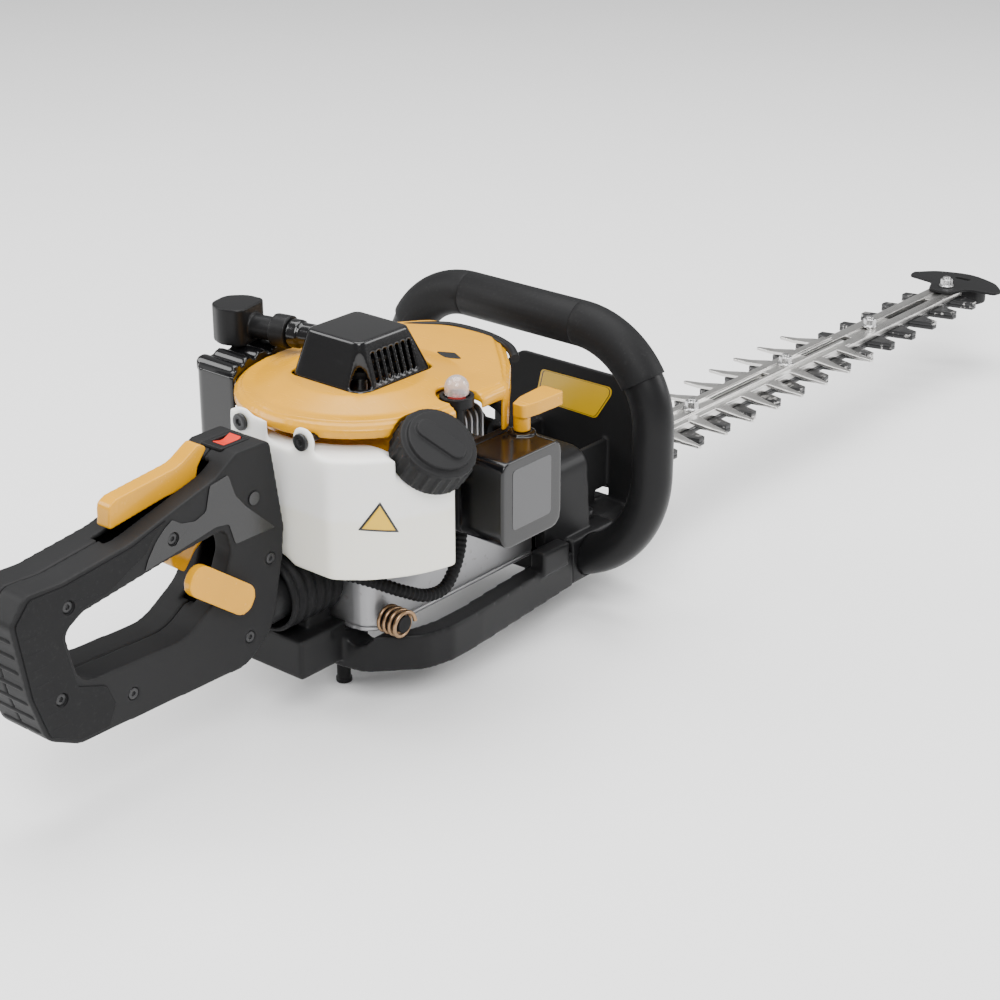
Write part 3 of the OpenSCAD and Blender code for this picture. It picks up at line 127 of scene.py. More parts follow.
class Graph:
    """A node tree with one method that makes every kind of node."""

    def __init__(self, tree: bpy.types.NodeTree) -> None:
        """Keeps the tree."""
        self.tree = tree

    def node(
        self,
        kind: str,
        settings: Optional[dict] = None,
        inputs: Optional[dict] = None,
        out: Union[int, str] = 0,
    ) -> Wire:
        """Adds a node.

        Args:
            kind: the node's type name.
            settings: its properties, set first; "stops" holds a ramp's stops.
            inputs: values or links of its sockets, by name or number.
            out: the output that is wanted.

        Returns:
            The wanted output, or an empty wire where the node has none.
        """
        made = self.tree.nodes.new(kind)
        for key, value in (settings or {}).items():
            if key == "stops":
                self._set_stops(made, value)
            else:
                setattr(made, key, value)
        for key, value in (inputs or {}).items():
            self.feed(made.inputs[key], value)
        return Wire(self, made.outputs[out] if len(made.outputs) else None)

    def feed(self, socket: bpy.types.NodeSocket, value: Value) -> None:
        """Links a wire or a socket to an input, or sets its value."""
        if isinstance(value, Wire):
            self.tree.links.new(value.socket, socket)
        elif isinstance(value, bpy.types.NodeSocket):
            self.tree.links.new(value, socket)
        else:
            socket.default_value = value

    @staticmethod
    def _set_stops(ramp: bpy.types.Node, stops: Sequence[tuple[float, Colour]]) -> None:
        """Gives a colour ramp its stops."""
        elements = ramp.color_ramp.elements
        while len(elements) < len(stops):
            elements.new(1.0)
        for element, (position, colour) in zip(elements, stops):
            element.position = position
            element.color = (*colour, 1.0)


class Shader(Graph):
    """A material's node tree, with the patterns that the finishes share."""

    def __init__(self, name: str) -> None:
        """Starts an empty material."""
        self.material = bpy.data.materials.new(name)
        self.material.use_nodes = True
        super().__init__(self.material.node_tree)
        self.tree.nodes.clear()
        self.place = self.node("ShaderNodeTexCoord", out="Object")

    def noise(
        self, grain: float, detail: float = 3.0, stretch: Point = (1, 1, 1), shift: float = 0.0
    ) -> Wire:
        """Noise from 0 to 1.

        Args:
            grain: size of its grains in metres.
            detail: octaves.
            stretch: how many times longer the grains are along each axis.
            shift: moves the pattern, so that two noises differ.

        Returns:
            The noise's wire.
        """
        scale = tuple(1.0 / (grain * share) for share in stretch)
        moved = {"Vector": self.place, "Scale": scale, "Location": (shift,) * 3}
        at = self.node("ShaderNodeMapping", {}, moved)
        sockets = {"Vector": at, "Scale": 1.0, "Detail": detail, "Roughness": 0.55}
        return self.node("ShaderNodeTexNoise", {}, sockets)

    def axes(self, at: Optional[Wire] = None) -> tuple[Wire, Wire, Wire]:
        """The X, Y and Z of a place, the object's own by default."""
        x = self.node("ShaderNodeSeparateXYZ", {}, {0: at or self.place})
        outputs = x.socket.node.outputs
        return x, Wire(self, outputs[1]), Wire(self, outputs[2])

    def step(self, value: Wire, low: float, high: float) -> Wire:
        """0 below low, 1 above high, and smooth between them."""
        sockets = {"Value": value, "From Min": low, "From Max": high}
        return self.node("ShaderNodeMapRange", {"interpolation_type": "SMOOTHSTEP"}, sockets)

    def tint(self, share: Value, first: Union[Wire, Colour], second: Union[Wire, Colour]) -> Wire:
        """Mixes two colours."""
        ends = [c if isinstance(c, Wire) else (*c, 1.0) for c in (first, second)]
        return self.node("ShaderNodeMix", {"data_type": "RGBA"}, {0: share, 6: ends[0], 7: ends[1]}, 2)

    def surface(
        self,
        varying: dict[str, Value],
        constant: dict[str, Value],
        height: Optional[Wire] = None,
        depth: float = 0.0,
    ) -> None:
        """Ends the material.

        Args:
            varying: Principled sockets that change over the surface.
            constant: Principled sockets that are the same all over.
            height: pattern of the relief, from 0 to 1.
            depth: depth of the relief in metres.
        """
        sockets = {**constant, **varying}
        if height is not None:
            sockets["Normal"] = self.node("ShaderNodeBump", {}, {"Height": height, "Distance": depth})
        shader = self.node("ShaderNodeBsdfPrincipled", {}, sockets)
        self.node("ShaderNodeOutputMaterial", {}, {"Surface": shader})


class Recipe(Graph):
    """A Geometry Nodes tree with named inputs, used as a modifier and then worked into a mesh."""

    def __init__(self, name: str, finish: "Finish") -> None:
        """Starts a tree with a geometry socket each way."""
        super().__init__(bpy.data.node_groups.new(name, "GeometryNodeTree"))
        self.finish = finish
        self.tree.interface.new_socket("Geometry", in_out="INPUT", socket_type="NodeSocketGeometry")
        self.tree.interface.new_socket("Geometry", in_out="OUTPUT", socket_type="NodeSocketGeometry")
        self.start = self.tree.nodes.new("NodeGroupInput")
        self.sizes: dict[str, float] = {}

    def size(self, name: str, value: float) -> Wire:
        """Adds a named input and returns its wire."""
        self.tree.interface.new_socket(name, in_out="INPUT", socket_type="NodeSocketFloat")
        self.sizes[name] = value
        return Wire(self, self.start.outputs[name])

    def source(self) -> Wire:
        """The geometry that the modifier's object brings."""
        return Wire(self, self.start.outputs["Geometry"])

    def ring(self, name: str, radius: float, sides: int) -> Wire:
        """A round profile whose radius is a named input."""
        sockets = {"Radius": self.size(name, radius), "Resolution": sides}
        return self.node("GeometryNodeCurvePrimitiveCircle", {}, sockets)

    def make(
        self, name: str, geometry: Wire, base: Optional[bpy.types.Object] = None
    ) -> bpy.types.Object:
        """Ends the tree and works it into a mesh.

        Args:
            name: name of the piece.
            geometry: what the tree makes.
            base: object that the tree works on; an empty one by default.

        Returns:
            A plain mesh object with the result.
        """
        real = self.node("GeometryNodeRealizeInstances", {}, {"Geometry": geometry})
        sockets = {"Geometry": real, "Material": self.finish.material()}
        self.node("NodeGroupOutput", {}, {"Geometry": self.node("GeometryNodeSetMaterial", {}, sockets)})
        piece = base or Bench.new_object(name, bpy.data.meshes.new(name))
        modifier = piece.modifiers.new("recipe", "NODES")
        modifier.node_group = self.tree
        for item in self.tree.interface.items_tree:
            if item.in_out == "INPUT" and item.name in self.sizes:
                modifier[item.identifier] = self.sizes[item.name]
        Bench.work_in(piece)
        work = bmesh.new()
        work.from_mesh(piece.data)
        Bench.end_work(work, piece.data)
        return piece


# ------------------------------------------------------------------- finishes

MADE: dict[str, bpy.types.Material] = {}


def shade(colour: Colour, share: float, lift: float = 0.0) -> Colour:
    """A colour made darker or lighter by a share, then lifted towards white."""
    return tuple(c * share + lift for c in colour)


@dataclass(frozen=True)
class Finish(ABC):
    """A finish that paints one material."""

    name: str

    def material(self) -> bpy.types.Material:
        """The finish's material, made once."""
        if self.name not in MADE:
            shader = Shader(self.name)
            self.paint(shader)
            MADE[self.name] = shader.material
        return MADE[self.name]

    @abstractmethod
    def paint(self, shader: Shader) -> None:
        """Builds the nodes."""


@dataclass(frozen=True)
class Moulded(Finish):
    """Injection-moulded plastic with an eroded grain, faint clouds and handling scuffs."""

    colour: Colour
    roughness: float = 0.45
    grain: float = 0.5 * MM
    depth: float = 0.02 * MM
    wear: float = 0.5
    coat: float = 0.0
    specular: float = 0.16

    def paint(self, shader: Shader) -> None:
        """Builds the nodes."""
        cloud = shader.noise(0.045, 4.0)
        grain = shader.noise(self.grain, 2.0, shift=3.0)
        ripple = shader.noise(9 * MM, 2.0, shift=7.0)
        scuff = shader.step(shader.noise(3 * MM, 4.0, (1.0, 9.0, 1.0), 11.0), 0.62, 0.78)
        edge = shader.step(shader.node("ShaderNodeNewGeometry", out="Pointiness"), 0.515, 0.57)
        worn = (edge * cloud + scuff * 0.25) * self.wear
        deep = shade(self.colour, 0.82)
        light = shade(self.colour, 1.12, 0.001)
        faded = shade(self.colour, 0.85, 0.02)
        base = shader.tint(cloud, deep, light)
        roughness = (cloud - 0.5) * 0.1 + scuff * 0.12 + edge * 0.06 + self.roughness
        relief = grain * 0.8 + ripple * 0.9
        shader.surface(
            {"Base Color": shader.tint(worn, base, faded), "Roughness": roughness},
            {"Coat Weight": self.coat, "Coat Roughness": 0.12, "Specular IOR Level": self.specular},
            relief,
            self.depth,
        )


@dataclass(frozen=True)
class Translucent(Finish):
    """Blow-moulded fuel tank plastic that light enters, with flow marks and a fuel shade."""

    colour: Colour
    level: float = 0.15

    def paint(self, shader: Shader) -> None:
        """Builds the nodes."""
        flow = shader.noise(0.03, 4.0, (1.0, 1.0, 2.5))
        pores = shader.noise(0.7 * MM, 2.0, shift=5.0)
        height = shader.axes()[2]
        dry = shader.step(height + (flow - 0.5) * 0.004, self.level - 0.002, self.level + 0.003)
        wet = tuple(c * k for c, k in zip(self.colour, (0.93, 0.92, 0.86)))
        cloudy = shader.tint(flow, shade(self.colour, 0.94), self.colour)
        shader.surface(
            {"Base Color": shader.tint(dry, wet, cloudy), "Roughness": flow * 0.12 + 0.36},
            {
                "Subsurface Weight": 0.25,
                "Subsurface Radius": (0.012, 0.011, 0.008),
                "Subsurface Scale": 0.4,
            },
            pores * 0.6 + flow,
            0.03 * MM,
        )


@dataclass(frozen=True)
class Metal(Finish):
    """Ground, brushed or cast metal with streaks, stains and fine scratches."""

    colour: Colour
    roughness: float = 0.3
    grain: float = 0.25 * MM
    stretch: Point = (1.0, 1.0, 1.0)
    depth: float = 0.008 * MM
    stain: float = 0.25

    def paint(self, shader: Shader) -> None:
        """Builds the nodes."""
        streak = shader.noise(self.grain, 3.0, self.stretch)
        cloud = shader.noise(0.018, 4.0, shift=4.0)
        spot = shader.step(shader.noise(5 * MM, 5.0, shift=9.0), 0.6, 0.75) * self.stain
        dark = shade(self.colour, 0.78)
        stained = tuple(c * k for c, k in zip(self.colour, (0.62, 0.57, 0.52)))
        base = shader.tint(streak * 0.6 + cloud * 0.4, dark, self.colour)
        roughness = (streak - 0.5) * 0.22 + (cloud - 0.5) * 0.15 + spot * 0.25 + self.roughness
        shader.surface(
            {"Base Color": shader.tint(spot, base, stained), "Roughness": roughness},
            {"Metallic": 1.0},
            streak,
            self.depth,
        )


@dataclass(frozen=True)
class Blackened(Finish):
    """Blackened or painted steel that shows bright metal where it has rubbed."""

    colour: Colour
    bare: Colour = (0.42, 0.41, 0.4)
    roughness: float = 0.42
    rubbed: float = 0.66

    def paint(self, shader: Shader) -> None:
        """Builds the nodes."""
        fine = shader.noise(0.5 * MM, 3.0)
        patch = shader.noise(4 * MM, 5.0, (2.5, 1.0, 1.0), 6.0)
        edge = shader.step(shader.node("ShaderNodeNewGeometry", out="Pointiness"), 0.52, 0.6)
        bare = shader.step(patch + edge * 0.12, self.rubbed, self.rubbed + 0.08)
        black = shader.tint(fine, shade(self.colour, 0.75), shade(self.colour, 1.25))
        shader.surface(
            {
                "Base Color": shader.tint(bare, black, self.bare),
                "Roughness": (fine - 0.5) * 0.2 - bare * 0.1 + self.roughness,
                "Metallic": bare * 0.65 + 0.35,
            },
            {},
            fine - bare * 0.5,
            0.02 * MM,
        )


@dataclass(frozen=True)
class Rubber(Finish):
    """Matt rubber or foam: open pores, chalky high spots."""

    colour: Colour
    roughness: float = 0.75
    pore: float = 0.6 * MM
    depth: float = 0.05 * MM

    def paint(self, shader: Shader) -> None:
        """Builds the nodes."""
        pores = shader.noise(self.pore, 3.0)
        cloud = shader.noise(0.03, 4.0, shift=5.0)
        dust = shader.step(shader.noise(2 * MM, 4.0, shift=8.0), 0.55, 0.8) * 0.3
        base = shader.tint(cloud, shade(self.colour, 0.8), shade(self.colour, 1.15))
        chalk = shade(self.colour, 0.8, 0.025)
        shader.surface(
            {
                "Base Color": shader.tint(dust, base, chalk),
                "Roughness": (pores - 0.5) * 0.2 + self.roughness,
            },
            {"Specular IOR Level": 0.12},
            pores,
            self.depth,
        )


@dataclass(frozen=True)
class Glazed(Finish):
    """Clear or glazed material with faint waves: bulb plastic and plug ceramic."""

    colour: Colour
    clear: float = 0.0
    roughness: float = 0.12

    def paint(self, shader: Shader) -> None:
        """Builds the nodes."""
        wave = shader.noise(3 * MM, 2.0)
        cloud = shader.noise(8 * MM, 3.0, shift=2.0)
        shader.surface(
            {
                "Base Color": shader.tint(cloud, shade(self.colour, 0.93), self.colour),
                "Roughness": wave * 0.08 + self.roughness,
            },
            {"Transmission Weight": self.clear, "IOR": 1.45},
            wave,
            0.03 * MM,
        )


@dataclass(frozen=True)
class Braid(Finish):
    """Braided cord: strands that cross along the piece's own UV map, with painted shade in the grooves
    between them.
    """

    colour: Colour
    strand: float = 1.4 * MM
    strands: float = 8.0

    def paint(self, shader: Shader) -> None:
        """Builds the nodes."""
        along = shader.node("ShaderNodeUVMap", {"uv_map": "cord"})
        u, v, _ = shader.axes(along)
        left = ((u * self.strands + v / self.strand) * FULL_TURN).sine()
        right = ((u * self.strands - v / self.strand) * FULL_TURN).sine()
        weave = left.higher_of(right) * 0.5 + 0.5
        fleck = shader.step(shader.noise(1.5 * MM, 2.0), 0.6, 0.7)
        # the cord's colour in the grooves between the strands, 0.4 of its own: painted shade
        dark = shade(self.colour, 0.4)
        base = shader.tint(weave, dark, self.colour)
        flecked = shader.tint(fleck * 0.3, base, (0.5, 0.5, 0.48))
        shader.surface(
            {"Base Color": flecked, "Roughness": weave * -0.1 + 0.8},
            {},
            weave,
            0.2 * MM,
        )


@dataclass(frozen=True)
class Printed(Finish):
    """A printed film label: an even colour with fine dots, a soft sheen and rubbed corners."""

    colour: Colour
    roughness: float = 0.32

    def paint(self, shader: Shader) -> None:
        """Builds the nodes."""
        dots = shader.noise(0.35 * MM, 1.0)
        fade = shader.noise(0.02, 3.0, shift=2.0)
        rub = shader.step(shader.noise(4 * MM, 5.0, shift=6.0), 0.66, 0.76) * 0.3
        base = shader.tint(fade, shade(self.colour, 0.9), self.colour)
        pale = shade(self.colour, 0.8, 0.08)
        shader.surface(
            {
                "Base Color": shader.tint(rub, base, pale),
                "Roughness": fade * 0.1 + rub * 0.3 + self.roughness,
            },
            {"Coat Weight": 0.3, "Coat Roughness": 0.2},
            dots,
            0.004 * MM,
        )


SATIN_BLACK = Moulded("satin_black_plastic", (0.007, 0.007, 0.0075), 0.40, depth=0.03 * MM)
MATT_BLACK = Moulded("matt_black_plastic", (0.010, 0.010, 0.0105), 0.55, grain=0.6 * MM, depth=0.05 * MM)
GLOSS_BLACK = Moulded(
    "gloss_black_plastic", (0.003, 0.003, 0.0035), 0.16, depth=0.012 * MM, wear=0.15, coat=0.1, specular=0.4
)
YELLOW = Moulded(
    "warm_yellow_plastic", (0.62, 0.285, 0.0), 0.26, depth=0.012 * MM, wear=0.1, coat=0.12, specular=0.3
)
RED = Moulded("red_plastic", (0.62, 0.03, 0.015), 0.32, wear=0.3)
GRIP = Rubber("grip_rubber", (0.009, 0.009, 0.0095), 0.55, pore=0.5 * MM, depth=0.04 * MM)
RUBBER = Rubber("bellows_rubber", (0.007, 0.007, 0.0075), 0.6)
FOAM = Rubber("filter_foam", (0.06, 0.06, 0.065), 0.95, pore=1.2 * MM, depth=0.6 * MM)
TANK = Translucent("tank_plastic", (0.86, 0.85, 0.81))
BRIGHT_STEEL = Metal("ground_steel", (0.70, 0.69, 0.67), 0.3, stretch=(40.0, 1.0, 1.0))
ZINC = Metal("zinc_plated_steel", (0.62, 0.62, 0.62), 0.26, stretch=(1.0, 1.0, 1.0), stain=0.15)
MACHINED = Metal("machined_alloy", (0.66, 0.66, 0.67), 0.3, stretch=(1.0, 6.0, 1.0))
CAST = Metal("cast_alloy", (0.40, 0.40, 0.41), 0.55, grain=0.9 * MM, depth=0.1 * MM, stain=0.5)
EXHAUST = Metal("exhaust_steel", (0.36, 0.31, 0.26), 0.5, grain=0.8 * MM, depth=0.04 * MM, stain=0.9)
BRONZE = Metal("spring_bronze", (0.33, 0.21, 0.12), 0.36, grain=0.5 * MM, stain=0.6)
TOOTH_STEEL = Blackened("blackened_teeth", (0.02, 0.02, 0.021), (0.5, 0.49, 0.48), 0.4, 0.62)
BLACK_SCREW = Blackened("black_screws", (0.018, 0.018, 0.019), roughness=0.34, rubbed=0.72)
CERAMIC = Glazed("plug_ceramic", (0.86, 0.85, 0.82))
BULB = Glazed("clear_bulb", (0.93, 0.86, 0.84), clear=0.75)
ROPE = Braid("starter_cord", (0.05, 0.05, 0.05))
LABEL_YELLOW = Printed("yellow_label", (0.70, 0.42, 0.0))
LABEL_BLACK = Printed("black_print", (0.012, 0.012, 0.012))
LABEL_GREY = Printed("grey_label", (0.03, 0.03, 0.033), 0.28)
PRIMER_PINK = Printed("primer_disc", (0.75, 0.08, 0.07), 0.4)

SLOT_FINISH: dict[str, Finish] = {
    "satin_black": SATIN_BLACK,
    "gloss_black": GLOSS_BLACK,
    "soft_grip": GRIP,
    "yellow": YELLOW,
    "red": RED,
    "tank": TANK,
    "bulb": BULB,
    "bright_steel": BRIGHT_STEEL,
    "dark_steel": TOOTH_STEEL,
    "cast_alloy": CAST,
    "machined_alloy": MACHINED,
    "black_screw": BLACK_SCREW,
    "spring_bronze": BRONZE,
    "exhaust_steel": EXHAUST,
    "rubber_black": RUBBER,
    "foam": FOAM,
    "ceramic_white": CERAMIC,
    "rope": ROPE,
}


# ---------------------------------------------------------------- mesh helpers


@dataclass(frozen=True)
class Softening:
    """How a solid's edges are rounded: size of the voxels, passes of smoothing, share of faces kept."""

    voxel: float = 1.1 * MM
    passes: int = 6
    keep: float = 0.3


class Corner(Enum):
    """How far the edges of a pressed or cut part are broken."""

    SHARP = 0.15 * MM
    FINE = 0.35 * MM
    SOFT = 0.8 * MM


class Bench:
    """Mesh work that all sub-assemblies share."""

    @staticmethod
    def new_object(name: str, mesh: bpy.types.Mesh) -> bpy.types.Object:
        """An object at the origin, in the scene."""
        made = bpy.data.objects.new(name, mesh)
        bpy.context.scene.collection.objects.link(made)
        return made

    @staticmethod
    def work_in(piece: bpy.types.Object) -> None:
        """Works a piece's modifiers into its mesh and removes them."""
        bpy.context.view_layer.update()
        graph = bpy.context.evaluated_depsgraph_get()
        mesh = bpy.data.meshes.new_from_object(piece.evaluated_get(graph))
        piece.modifiers.clear()
        old = piece.data
        piece.data = mesh
        bpy.data.meshes.remove(old)

    @staticmethod
    def copy_of(node: str, name: str) -> bpy.types.Object:
        """A copy of a CAD solid with its loose triangles merged and its flats made whole."""
        mesh = frame["nodes"][node].data.copy()
        mesh.materials.clear()
        work = bmesh.new()
        work.from_mesh(mesh)
        bmesh.ops.remove_doubles(work, verts=work.verts, dist=0.002 * MM)
        bmesh.ops.dissolve_limit(work, angle_limit=math.radians(0.3), verts=work.verts, edges=work.edges)
        work.to_mesh(mesh)
        work.free()
        return Bench.new_object(name, mesh)

    @staticmethod
    def soften(piece: bpy.types.Object, how: Softening) -> None:
        """Rounds every edge of a closed solid, as a mould does."""
        remesh = piece.modifiers.new("voxels", "REMESH")
        remesh.mode = "VOXEL"
        remesh.voxel_size = how.voxel
        remesh.use_smooth_shade = True
        smooth = piece.modifiers.new("smooth", "SMOOTH")
        smooth.factor = 0.5
        smooth.iterations = how.passes
        if how.keep < 1.0:
            thin = piece.modifiers.new("thin", "DECIMATE")
            thin.ratio = how.keep
        Bench.work_in(piece)
        piece.data.shade_smooth()

    @staticmethod
    def break_edges(piece: bpy.types.Object, width: float, angle: float = 32.0) -> None:
        """Breaks the sharp edges of a cut part with a small round."""
        piece.data.shade_smooth()
        bevel = piece.modifiers.new("edges", "BEVEL")
        bevel.width = width
        bevel.segments = 2
        bevel.limit_method = "ANGLE"
        bevel.angle_limit = math.radians(angle)
        bevel.use_clamp_overlap = False
        bevel.harden_normals = True
        Bench.work_in(piece)

    @staticmethod
    def end_work(work: bmesh.types.BMesh, mesh: bpy.types.Mesh) -> None:
        """Ends a bmesh with its faces outwards."""
        bmesh.ops.recalc_face_normals(work, faces=work.faces)
        work.to_mesh(mesh)
        work.free()

    @staticmethod
    def from_work(name: str, work: bmesh.types.BMesh) -> bpy.types.Object:
        """Ends a bmesh and gives it an object."""
        mesh = bpy.data.meshes.new(name)
        Bench.end_work(work, mesh)
        return Bench.new_object(name, mesh)

    @staticmethod
    def prism(
        name: str,
        outline: Sequence[Vector],
        rise: Vector,
        corner: float = 0.0,
        holes: Sequence[Sequence[Vector]] = (),
    ) -> bpy.types.Object:
        """A flat outline made solid.

        Args:
            name: name of the piece.
            outline: corners of the foot, in order.
            rise: from the foot to the top.
            corner: width of the broken edges.
            holes: outlines of the holes through it.

        Returns:
            The closed piece.
        """
        work = bmesh.new()
        for line in (outline, *holes):
            ring = [work.verts.new(point) for point in line]
            for i, here in enumerate(ring):
                work.edges.new((here, ring[(i + 1) % len(ring)]))
        bmesh.ops.triangle_fill(work, use_beauty=True, edges=work.edges[:], normal=rise.normalized())
        made = bmesh.ops.extrude_face_region(work, geom=work.faces[:], use_keep_orig=True)["geom"]
        top = [part for part in made if isinstance(part, bmesh.types.BMVert)]
        bmesh.ops.translate(work, vec=rise, verts=top)
        piece = Bench.from_work(name, work)
        if corner > 0.0:
            Bench.break_edges(piece, corner)
        return piece

    @staticmethod
    def circle(place: Point, radius: float, across: Vector, up: Vector, sides: int = 36) -> list[Vector]:
        """A round outline about a place, in the plane of two unit vectors."""
        turns = (FULL_TURN * k / sides for k in range(sides))
        return [Vector(place) + (across * math.cos(a) + up * math.sin(a)) * radius for a in turns]

    @staticmethod
    def drawn_in(outline: Sequence[Vector], distance: float) -> list[Vector]:
        """A convex outline drawn in towards its middle."""
        middle = sum(outline, Vector()) / len(outline)
        reach = sum((point - middle).length for point in outline) / len(outline)
        return [middle + (point - middle) * (1 - distance / reach) for point in outline]

    @staticmethod
    def decal(
        name: str,
        corners: Sequence[Union[Point, Vector]],
        target: bpy.types.Object,
        lift: float,
        steps: int = 14,
    ) -> bpy.types.Object:
        """A thin triangle that lies on a curved piece.

        Args:
            name: name of the piece.
            corners: its three corners, near the surface.
            target: piece that it lies on.
            lift: how far it stands out.
            steps: faces along each side.

        Returns:
            The closed piece.
        """
        a, b, c = (Vector(corner) for corner in corners)
        work = bmesh.new()
        rows = []
        for i in range(steps + 1):
            row = []
            for k in range(i + 1):
                flat = a + (b - a) * (i - k) / steps + (c - a) * k / steps
                _, near, normal, _ = target.closest_point_on_mesh(flat)
                row.append(work.verts.new(near + normal * lift))
            rows.append(row)
        for i in range(steps):
            for k in range(i + 1):
                work.faces.new((rows[i][k], rows[i + 1][k], rows[i + 1][k + 1]))
                if k < i:
                    work.faces.new((rows[i][k], rows[i + 1][k + 1], rows[i][k + 1]))
        piece = Bench.from_work(name, work)
        outward = target.closest_point_on_mesh(a)[2]
        if piece.data.polygons[0].normal.dot(outward) < 0:
            piece.data.flip_normals()
        film = piece.modifiers.new("film", "SOLIDIFY")
        film.thickness = lift * 2
        film.offset = -1
        Bench.work_in(piece)
        piece.data.shade_smooth()
        return piece

    @staticmethod
    def swept(
        name: str,
        path: Sequence[Point],
        radius: float,
        finish: "Finish",
        ridge: float = 0.0,
        pitch: float = 4 * MM,
    ) -> bpy.types.Object:
        """A round rod or ribbed pipe along a smooth path, made by Geometry Nodes.

        Args:
            name: name of the piece.
            path: points that it passes through.
            radius: its mean radius.
            finish: its finish.
            ridge: height of its ribs as a share of the radius.
            pitch: distance between two ribs.

        Returns:
            The closed piece.
        """
        mesh = bpy.data.meshes.new(name)
        mesh.from_pydata([tuple(p) for p in path], [(i, i + 1) for i in range(len(path) - 1)], [])
        base = Bench.new_object(name, mesh)
        recipe = Recipe(f"{name}_recipe", finish)
        line = recipe.node("GeometryNodeMeshToCurve", {}, {"Mesh": recipe.source()})
        smooth = {"spline_type": "CATMULL_ROM"}
        curve = recipe.node("GeometryNodeCurveSplineType", smooth, {"Curve": line})
        cut = {"Curve": curve, "Length": recipe.size("Step", pitch / 8 if ridge else pitch / 2)}
        even = recipe.node("GeometryNodeResampleCurve", {"mode": "LENGTH"}, cut)
        along = recipe.node("GeometryNodeSplineParameter", out="Length")
        profile = recipe.ring("Radius", radius, 24)
        wave = (along * (FULL_TURN / pitch)).sine() * recipe.size("Ridge", ridge) + 1.0
        sockets = {"Curve": even, "Profile Curve": profile, "Scale": wave, "Fill Caps": True}
        pipe = recipe.node("GeometryNodeCurveToMesh", {}, sockets)
        return recipe.make(name, recipe.node("GeometryNodeSetShadeSmooth", {}, {"Geometry": pipe}), base)

    @staticmethod
    def rounded(corners: Sequence[tuple[float, float]], radius: float, steps: int = 5) -> list[Vector]:
        """A flat outline with round corners, as (a, b, 0) vectors."""
        points = []
        count = len(corners)
        for i, corner in enumerate(corners):
            here = Vector((*corner, 0.0))
            before = (Vector((*corners[i - 1], 0.0)) - here).normalized()
            after = (Vector((*corners[(i + 1) % count], 0.0)) - here).normalized()
            for k in range(steps + 1):
                t = k / steps
                way = before * (1 - t) ** 2 + after * t**2
                points.append(here + way * radius)
        return points


class SubAssembly(ABC):
    """A group of pieces that is built and reported together, on the frame's own bodies, with its slots'
    finishes by default.
    """

    title = "sub-assembly"
    body_of = {
        node: body for body, nodes in frame["record"]["behaviour"]["bodies"].items() for node in nodes
    }
    slot_of = {part["node"]: part["material_slot"] for part in frame["record"]["subparts"]}

    @abstractmethod
    def build(self) -> None:
        """Makes and dresses every piece."""

    def settle(
        self,
        piece: bpy.types.Object,
        node: str,
        finish: Optional[Finish] = None,
        replace: bool = True,
    ) -> bpy.types.Object:
        """Gives a piece its finish and body; the finish is the slot's own by default.

        Args:
            piece: the finished mesh object.
            node: CAD node that it stands for or sits on.
            finish: its finish, the slot's own by default.
            replace: whether the node is hidden behind it.

        Returns:
            The piece.
        """
        slot = self.slot_of[node]
        if finish is not None or not piece.data.materials:
            piece.data.materials.clear()
            piece.data.materials.append((finish or SLOT_FINISH[slot]).material())
        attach(piece, self.body_of[node])
        if replace:
            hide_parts(node)
        log.info("%s: %s", self.title, piece.name)
        return piece

    def mould(self, node: str, how: Softening, finish: Optional[Finish] = None) -> bpy.types.Object:
        """A moulded or cast piece in place of a CAD solid."""
        piece = Bench.copy_of(node, f"{node}_moulded")
        Bench.soften(piece, how)
        return self.settle(piece, node, finish)

    def cut(self, node: str, corner: Corner, finish: Optional[Finish] = None) -> bpy.types.Object:
        """A cut, turned or pressed piece in place of a CAD solid."""
        piece = Bench.copy_of(node, f"{node}_finished")
        Bench.break_edges(piece, corner.value)
        return self.settle(piece, node, finish)


# --------------------------------------------------------------- sub-assemblies


@dataclass
class CutterBar(SubAssembly):
    """Guide bar, tine comb, the two blades, their bolts and the tip guard."""

    title = "cutter bar"

    def build(self) -> None:
        """Makes and dresses every piece."""
        for node in ("guide_bar", "tine_comb"):
            self.cut(node, Corner.FINE, BRIGHT_STEEL)
        for node in ("upper_blade", "lower_blade"):
            self.cut(node, Corner.SHARP, TOOTH_STEEL)
        self.cut("blade_bolts", Corner.FINE, ZINC)
        self.mould("tip_guard", Softening(0.8 * MM, 5, 0.4), MATT_BLACK)


@dataclass
class GearHousing(SubAssembly):
    """Gearcase, its lid, the drive gear, the clutch drum and the crankcase."""

    title = "gear housing"

    def build(self) -> None:
        """Makes and dresses every piece."""
        for node in ("gearcase", "gearcase_lid", "crankcase"):
            self.mould(node, Softening(1.2 * MM, 4, 0.3))
        for node in ("drive_gear", "clutch_drum"):
            self.cut(node, Corner.FINE)


@dataclass
class Engine(SubAssembly):
    """Cylinder, crank, piston, ignition and carburettor."""

    title = "engine"

    def build(self) -> None:
        """Makes and dresses every piece."""
        for node in (
            "engine_cylinder", "piston", "connecting_rod", "crankshaft", "clutch_shoes",
            "spark_plug", "ignition_coil", "carburettor", "intake_spacer",
        ):
            self.cut(node, Corner.FINE)
        for node in ("fan_wheel", "plug_boot", "air_filter"):
            self.mould(node, Softening(0.9 * MM, 3, 0.35))


